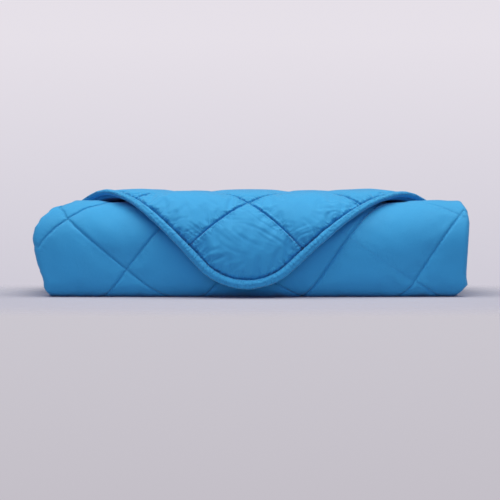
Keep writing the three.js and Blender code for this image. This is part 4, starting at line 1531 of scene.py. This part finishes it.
def cloth_material(name, cloth, tint, crease_depth, is_tape):
    """Brushed microfibre: a fine weave under a soft nap, with a sheen where it turns away."""
    material, tree, shader = new_material(name, CLOTH_SHEEN)
    coords = node(tree, "ShaderNodeUVMap", uv_map="cloth").outputs["UV"]
    weave = grouped(tree, "fine_weave", build_weave, {"Coordinates": coords})
    nap = grouped(tree, "brushed_nap", build_nap, {"Coordinates": coords})
    creases = grouped(tree, "soft_creases", build_creases, {"Coordinates": coords})

    light = added(tree, [
        spread(tree, nap["Clouds"], -cloth.colour_variation, cloth.colour_variation),
        spread(tree, weave["Crowns"], -cloth.weave_contrast, cloth.weave_contrast),
        spread(tree, nap["Fibres"], -cloth.weave_contrast, cloth.weave_contrast),
        1.0,
    ])
    grey = node(tree, "ShaderNodeCombineColor", {"Red": light, "Green": light, "Blue": light})
    colour = node(tree, "ShaderNodeMix", data_type="RGBA", blend_type="MULTIPLY")
    feed(tree, colour, {"Factor": 1.0, "A": tint, "B": grey.outputs["Color"]})
    rough = added(tree, [
        spread(tree, nap["Clouds"], *CLOUD_ROUGHNESS),
        spread(tree, weave["Crowns"], *CROWN_ROUGHNESS),
    ])

    layers = []
    if is_tape:
        layers.append((tape_pleats(tree, coords), PLEAT_DEPTH, 1.0))
    else:
        layers.append((quilt_pleats(tree), PLEAT_DEPTH, 1.0))
        layers.append((pressed_lines(tree, coords), LINE_DEPTH, 1.0))
    layers.append((creases["Height"], crease_depth, 0.6))
    layers.append((nap["Fibres"], NAP_DEPTH, 0.5))
    layers.append((weave["Height"], WEAVE_DEPTH, 0.7))
    feed(tree, shader, {
        "Base Color": colour.outputs["Result"],
        "Roughness": rough,
        "Normal": raised(tree, layers),
    })
    return material


def thread_material(name, thread_colour, cloth_colour):
    """Polyester thread: a tight twist with a low shine."""
    material, tree, shader = new_material(name, THREAD_SHEEN)
    coords = node(tree, "ShaderNodeTexCoord").outputs["Object"]
    patches = noise(tree, coords, THREAD_PATCHES, 2)
    colour = node(tree, "ShaderNodeMix", data_type="RGBA")
    feed(tree, colour, {
        "Factor": spread(tree, patches, 0.1, 0.6),
        "A": thread_colour,
        "B": cloth_colour,
    })
    feed(tree, shader, {
        "Base Color": colour.outputs["Result"],
        "Roughness": spread(tree, patches, 0.42, 0.6),
        "Normal": raised(tree, [(noise(tree, coords, THREAD_TWIST, 1), THREAD_TWIST_DEPTH, 0.5)]),
    })
    return material


# ---- stitches ----

def make_seam_lines(quilt, flats, outer_count):
    """Leaves loose edges along the quilt's seams, a little above the cloth, for the stitches."""
    _, s, a, b = flats[:outer_count].T
    lifted = vertex_vectors(quilt, "co") + vertex_vectors(quilt, "normal") * STITCH_LIFT * MM
    edges = np.empty(len(quilt.data.edges) * 2, np.int32)
    quilt.data.edges.foreach_get("vertices", edges)
    edges = edges.reshape(-1, 2)
    first, second = edges[(edges < outer_count).all(axis=1)].T
    clear = rim_distance(a, b)[0] * SQUARE > STITCH_CLEARANCE
    shown = (a >= 0) & (s < STITCHED_TO) & clear
    on_seam = np.zeros(len(first), bool)
    for value in (a, b):
        seam = np.round(value)
        whole = (np.abs(value - seam) < ON_LINE) & (seam > 0) & shown
        on_seam |= whole[first] & whole[second] & (seam[first] == seam[second])
    used, ids = np.unique(np.concatenate([first[on_seam], second[on_seam]]), return_inverse=True)
    mesh = bpy.data.meshes.new(SEAM_LINES)
    mesh.from_pydata(lifted[used].tolist(), ids.reshape(2, -1).T.tolist(), [])
    new_object(SEAM_LINES, mesh)


def stitch_group(material):
    """Lays short stitches end to end along the edges that it is given."""
    tree = bpy.data.node_groups.new("running_stitches", "GeometryNodeTree")
    tree.interface.new_socket("Seams", in_out="INPUT", socket_type="NodeSocketGeometry")
    for name in ("Pitch", "Stitch length", "Thickness"):
        tree.interface.new_socket(name, in_out="INPUT", socket_type="NodeSocketFloat")
    tree.interface.new_socket("Stitches", in_out="OUTPUT", socket_type="NodeSocketGeometry")
    given = node(tree, "NodeGroupInput").outputs
    curve = node(tree, "GeometryNodeMeshToCurve", {"Mesh": given["Seams"]}).outputs["Curve"]
    inputs = {"Curve": curve, "Length": given["Pitch"]}
    spaced = node(tree, "GeometryNodeResampleCurve", inputs, mode="LENGTH").outputs["Curve"]
    places = node(tree, "GeometryNodeCurveToPoints", {"Curve": spaced}, mode="EVALUATED").outputs
    inputs = {"Segments": STITCH_SIDES, "Rings": STITCH_RINGS, "Radius": 0.5}
    shape = node(tree, "GeometryNodeMeshUVSphere", inputs).outputs["Mesh"]
    inputs = {"X": given["Thickness"], "Y": given["Thickness"], "Z": given["Stitch length"]}
    size = node(tree, "ShaderNodeCombineXYZ", inputs).outputs["Vector"]
    inputs = {
        "Points": places["Points"],
        "Rotation": places["Rotation"],
        "Instance": shape,
        "Scale": size,
    }
    instances = node(tree, "GeometryNodeInstanceOnPoints", inputs).outputs["Instances"]
    real = node(tree, "GeometryNodeRealizeInstances", {"Geometry": instances}).outputs["Geometry"]
    inputs = {"Geometry": real, "Material": material}
    finished = node(tree, "GeometryNodeSetMaterial", inputs).outputs["Geometry"]
    node(tree, "NodeGroupOutput", {"Stitches": finished})
    return tree


def make_stitches(sewing, cloth_colour):
    """Sews along the seam lines that the quilt left, and takes them away."""
    lines = bpy.data.objects[SEAM_LINES]
    thread = thread_material("seam_thread", sewing.thread_colour, cloth_colour)
    modifier = lines.modifiers.new("Stitches", "NODES")
    modifier.node_group = stitch_group(thread)
    sizes = {
        "Pitch": sewing.stitch_pitch,
        "Stitch length": sewing.stitch_length,
        "Thickness": sewing.thread_thickness,
    }
    for item in modifier.node_group.interface.items_tree:
        if item.name in sizes:
            modifier[item.identifier] = sizes[item.name]
    graph = bpy.context.evaluated_depsgraph_get()
    made = bpy.data.meshes.new_from_object(lines.evaluated_get(graph))
    made.name = "seam_stitches"
    made.shade_smooth()
    bpy.data.objects.remove(lines, do_unlink=True)
    return new_object("seam_stitches", made)


# ---- the stage ----

def make_floor():
    """A plain floor that fades out round the roll into the background."""
    mesh = bpy.data.meshes.new("floor")
    side = FLOOR_HALF
    corners = [(-side, -side, 0), (side, -side, 0), (side, side, 0), (-side, side, 0)]
    mesh.from_pydata(corners, [], [(0, 1, 2, 3)])
    floor = new_object("floor", mesh)
    material, tree, shader = new_material("floor", FLOOR_FINISH)
    mapping = node(tree, "ShaderNodeMapping", {
        "Vector": node(tree, "ShaderNodeTexCoord").outputs["Object"],
        "Scale": (1 / FLOOR_WIDE, 1 / FLOOR_DEEP, 1),
        "Location": (0, -FLOOR_CENTRE / FLOOR_DEEP, 0),
    })
    away = node(tree, "ShaderNodeVectorMath", {0: mapping.outputs["Vector"]}, operation="LENGTH")
    feed(tree, shader, {"Alpha": eased(tree, away.outputs["Value"], *FLOOR_FADE, 1.0, 0.0)})
    mesh.materials.append(material)


def make_world(scene):
    """A background whose tones, graded by height, are painted light on floor and wall, and a soft light
    from all round.
    """
    world = bpy.data.worlds.new("studio")
    scene.world = world
    world.use_nodes = True
    tree = world.node_tree
    height = split_up(tree, node(tree, "ShaderNodeTexCoord").outputs["Generated"])["Z"]
    inputs = {"Value": height, "From Min": BACKGROUND_FROM, "From Max": BACKGROUND_TO}
    rise = node(tree, "ShaderNodeMapRange", inputs).outputs["Result"]
    ramp = node(tree, "ShaderNodeValToRGB", {"Fac": rise})
    tones = ramp.color_ramp.elements
    while len(tones) < len(BACKGROUND):
        tones.new(1.0)
    for tone, (place_up, colour) in zip(tones, BACKGROUND):
        tone.position = place_up
        tone.color = colour
    seen = tree.nodes["Background"]
    feed(tree, seen, {"Color": ramp.outputs["Color"]})
    light = node(tree, "ShaderNodeBackground", ROOM_LIGHT)
    mix = node(tree, "ShaderNodeMixShader", {
        "Fac": node(tree, "ShaderNodeLightPath").outputs["Is Camera Ray"],
        1: light.outputs["Background"],
        2: seen.outputs["Background"],
    })
    feed(tree, tree.nodes["World Output"], {"Surface": mix.outputs["Shader"]})


def aim(thing, direction):
    """Turns a light or a camera to look in a direction."""
    thing.rotation_euler = direction.to_track_quat("-Z", "Y").to_euler()


def make_lights():
    """The soft boxes over and in front of the roll."""
    for name, at, towards, wide, deep, power, colour in LIGHTS:
        data = bpy.data.lights.new(name, "AREA")
        data.shape = "RECTANGLE"
        data.size = wide
        data.size_y = deep
        data.energy = power
        data.color = colour
        lamp = new_object(name, data)
        lamp.location = at
        aim(lamp, Vector(towards) - Vector(at))


def make_camera(scene):
    """A long lens a little above the roll, with the roll's foot under the view's middle."""
    data = bpy.data.cameras.new("camera")
    data.sensor_width = CAMERA_SENSOR
    data.lens = data.sensor_width * CAMERA_DISTANCE / (VIEW_SIZE * PIXEL)
    data.clip_end = CAMERA_CLIP
    camera = new_object("camera", data)
    up = (FRONT_BOTTOM[1] - VIEW_SIZE / 2) * PIXEL
    side = (VIEW_SIZE / 2 - FRONT_BOTTOM[0]) * PIXEL
    back = Vector((0, -math.cos(CAMERA_RISE), math.sin(CAMERA_RISE)))
    rise = Vector((0, math.sin(CAMERA_RISE), math.cos(CAMERA_RISE)))
    target = Vector((side, FRONT_Y, 0)) + rise * up
    camera.location = target + back * CAMERA_DISTANCE
    aim(camera, -back)
    scene.camera = camera


# ---- what a user would change ----

def share_setting(name, description, default):
    """A setting from 0 to 1."""
    return bpy.props.FloatProperty(name=name, description=description, default=default, min=0, max=1)


def length_setting(name, description, default):
    """A setting in metres."""
    return bpy.props.FloatProperty(
        name=name, description=description, default=default, min=0.0001, subtype="DISTANCE")


def colour_setting(name, description, default):
    """A setting that is a colour."""
    return bpy.props.FloatVectorProperty(
        name=name, description=description, default=default, size=4, min=0, max=1, subtype="COLOR")


class FillingSettings(bpy.types.PropertyGroup):
    """How the filling pushes the cloth out between the seams."""

    pressure: bpy.props.FloatProperty(
        name="Pressure", description="How hard the filling pushes the cloth out",
        default=10.0, min=0, max=20)
    hold: bpy.props.FloatProperty(
        name="Hold", description="How firmly the filling holds the cloth to its shape",
        default=1.0, min=0, max=50)
    bending: bpy.props.FloatProperty(
        name="Bending", description="How stiffly the cloth bends", default=3.0, min=0, max=100)
    quality: bpy.props.IntProperty(
        name="Quality", description="Simulated steps in a frame", default=4, min=1, max=20)
    frames: bpy.props.IntProperty(
        name="Frames", description="Frames for which the filling pushes", default=30, min=1, max=250)
    flap_hold: share_setting("Flap hold", "Share of the hold between the flap's seams", 0.01)
    roll_hold: share_setting("Roll hold", "Share of the hold between the roll's seams", 0.05)
    flap_slack: share_setting("Flap slack", "Spare cloth between the flap's seams", 0.024)
    roll_slack: share_setting("Roll slack", "Spare cloth between the roll's seams", 0.004)
    flap_limit: length_setting("Flap limit", "Furthest that the flap's cloth moves", 0.006)
    roll_limit: length_setting("Roll limit", "Furthest that the roll's cloth moves", 0.002)
    top_share: share_setting("Top share", "Share of the push that the flap's top keeps", 0.5)


class ClothSettings(bpy.types.PropertyGroup):
    """Colours of the cloth, and how much they vary."""

    quilt_colour: colour_setting("Quilt colour", "Colour of the quilt's cloth", (0.034, 0.35, 0.68, 1))
    binding_colour: colour_setting("Binding colour", "Colour of the tape", (0.034, 0.35, 0.68, 1))
    colour_variation: share_setting("Colour variation", "How much soft clouds lighten the cloth", 0.05)
    weave_contrast: share_setting("Weave contrast", "How much threads and fibres lighten it", 0.04)


class SewingSettings(bpy.types.PropertyGroup):
    """Sizes and colour of the stitches."""

    stitch_pitch: length_setting("Stitch pitch", "From one stitch's start to the next", 0.0038)
    stitch_length: length_setting("Stitch length", "Length of one stitch", 0.003)
    thread_thickness: length_setting("Thread thickness", "Thickness of the thread", 0.0006)
    thread_colour: colour_setting("Thread colour", "Colour of the thread", (0.02, 0.27, 0.56, 1))


# ---- operators and panel ----

class BLANKET_OT_quilt(bpy.types.Operator):
    """Makes the quilt and lets its filling push the cloth out between the seams"""

    bl_idname = "blanket.quilt"
    bl_label = "Make the quilt"

    def execute(self, context):
        cloth = context.scene.blanket_cloth
        quilt, flats, outer_count = make_quilt(context.scene.blanket_filling)
        quilt.data.materials.append(
            cloth_material("quilt_cloth", cloth, cloth.quilt_colour, QUILT_CREASES, False))
        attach(quilt, BODY)
        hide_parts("quilt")
        make_seam_lines(quilt, flats, outer_count)
        return {"FINISHED"}


class BLANKET_OT_stitches(bpy.types.Operator):
    """Sews running stitches along the quilt's seams"""

    bl_idname = "blanket.stitches"
    bl_label = "Sew the stitches"

    def execute(self, context):
        scene = context.scene
        stitches = make_stitches(scene.blanket_sewing, scene.blanket_cloth.quilt_colour)
        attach(stitches, BODY)
        return {"FINISHED"}


class BLANKET_OT_binding(bpy.types.Operator):
    """Makes the round binding along the flap's edge"""

    bl_idname = "blanket.binding"
    bl_label = "Make the edge binding"

    def execute(self, context):
        cloth = context.scene.blanket_cloth
        tube = make_binding()
        tube.data.materials.append(
            cloth_material("binding_cloth", cloth, cloth.binding_colour, TAPE_CREASES, True))
        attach(tube, BODY)
        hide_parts("edge_binding")
        return {"FINISHED"}


class BLANKET_OT_stage(bpy.types.Operator):
    """Makes the floor, the background, the lights and the camera"""

    bl_idname = "blanket.stage"
    bl_label = "Make the stage"

    def execute(self, context):
        scene = context.scene
        make_floor()
        make_world(scene)
        make_lights()
        make_camera(scene)
        scene.view_settings.view_transform = "Standard"
        return {"FINISHED"}


class BLANKET_PT_panel(bpy.types.Panel):
    """Lists the blanket's sizes and colours, and makes its pieces"""

    bl_idname = "BLANKET_PT_panel"
    bl_label = "Weighted blanket"
    bl_space_type = "VIEW_3D"
    bl_region_type = "UI"
    bl_category = "Blanket"

    def draw(self, context):
        for name, group in SETTINGS.items():
            box = self.layout.box()
            for setting in group.__annotations__:
                box.prop(getattr(context.scene, name), setting)
        for operator in OPERATORS:
            self.layout.operator(operator.bl_idname)


SETTINGS = {
    "blanket_filling": FillingSettings,
    "blanket_cloth": ClothSettings,
    "blanket_sewing": SewingSettings,
}
OPERATORS = (BLANKET_OT_quilt, BLANKET_OT_stitches, BLANKET_OT_binding, BLANKET_OT_stage)
CLASSES = (*SETTINGS.values(), *OPERATORS, BLANKET_PT_panel)


def register():
    for made in CLASSES:
        bpy.utils.register_class(made)
    for name, group in SETTINGS.items():
        setattr(bpy.types.Scene, name, bpy.props.PointerProperty(type=group))


def unregister():
    for name in SETTINGS:
        delattr(bpy.types.Scene, name)
    for made in reversed(CLASSES):
        bpy.utils.unregister_class(made)


def main():
    """Makes the pieces and the stage in order."""
    register()
    bpy.ops.blanket.quilt()
    bpy.ops.blanket.stitches()
    bpy.ops.blanket.binding()
    bpy.ops.blanket.stage()


if __name__ == "__main__":
    main()
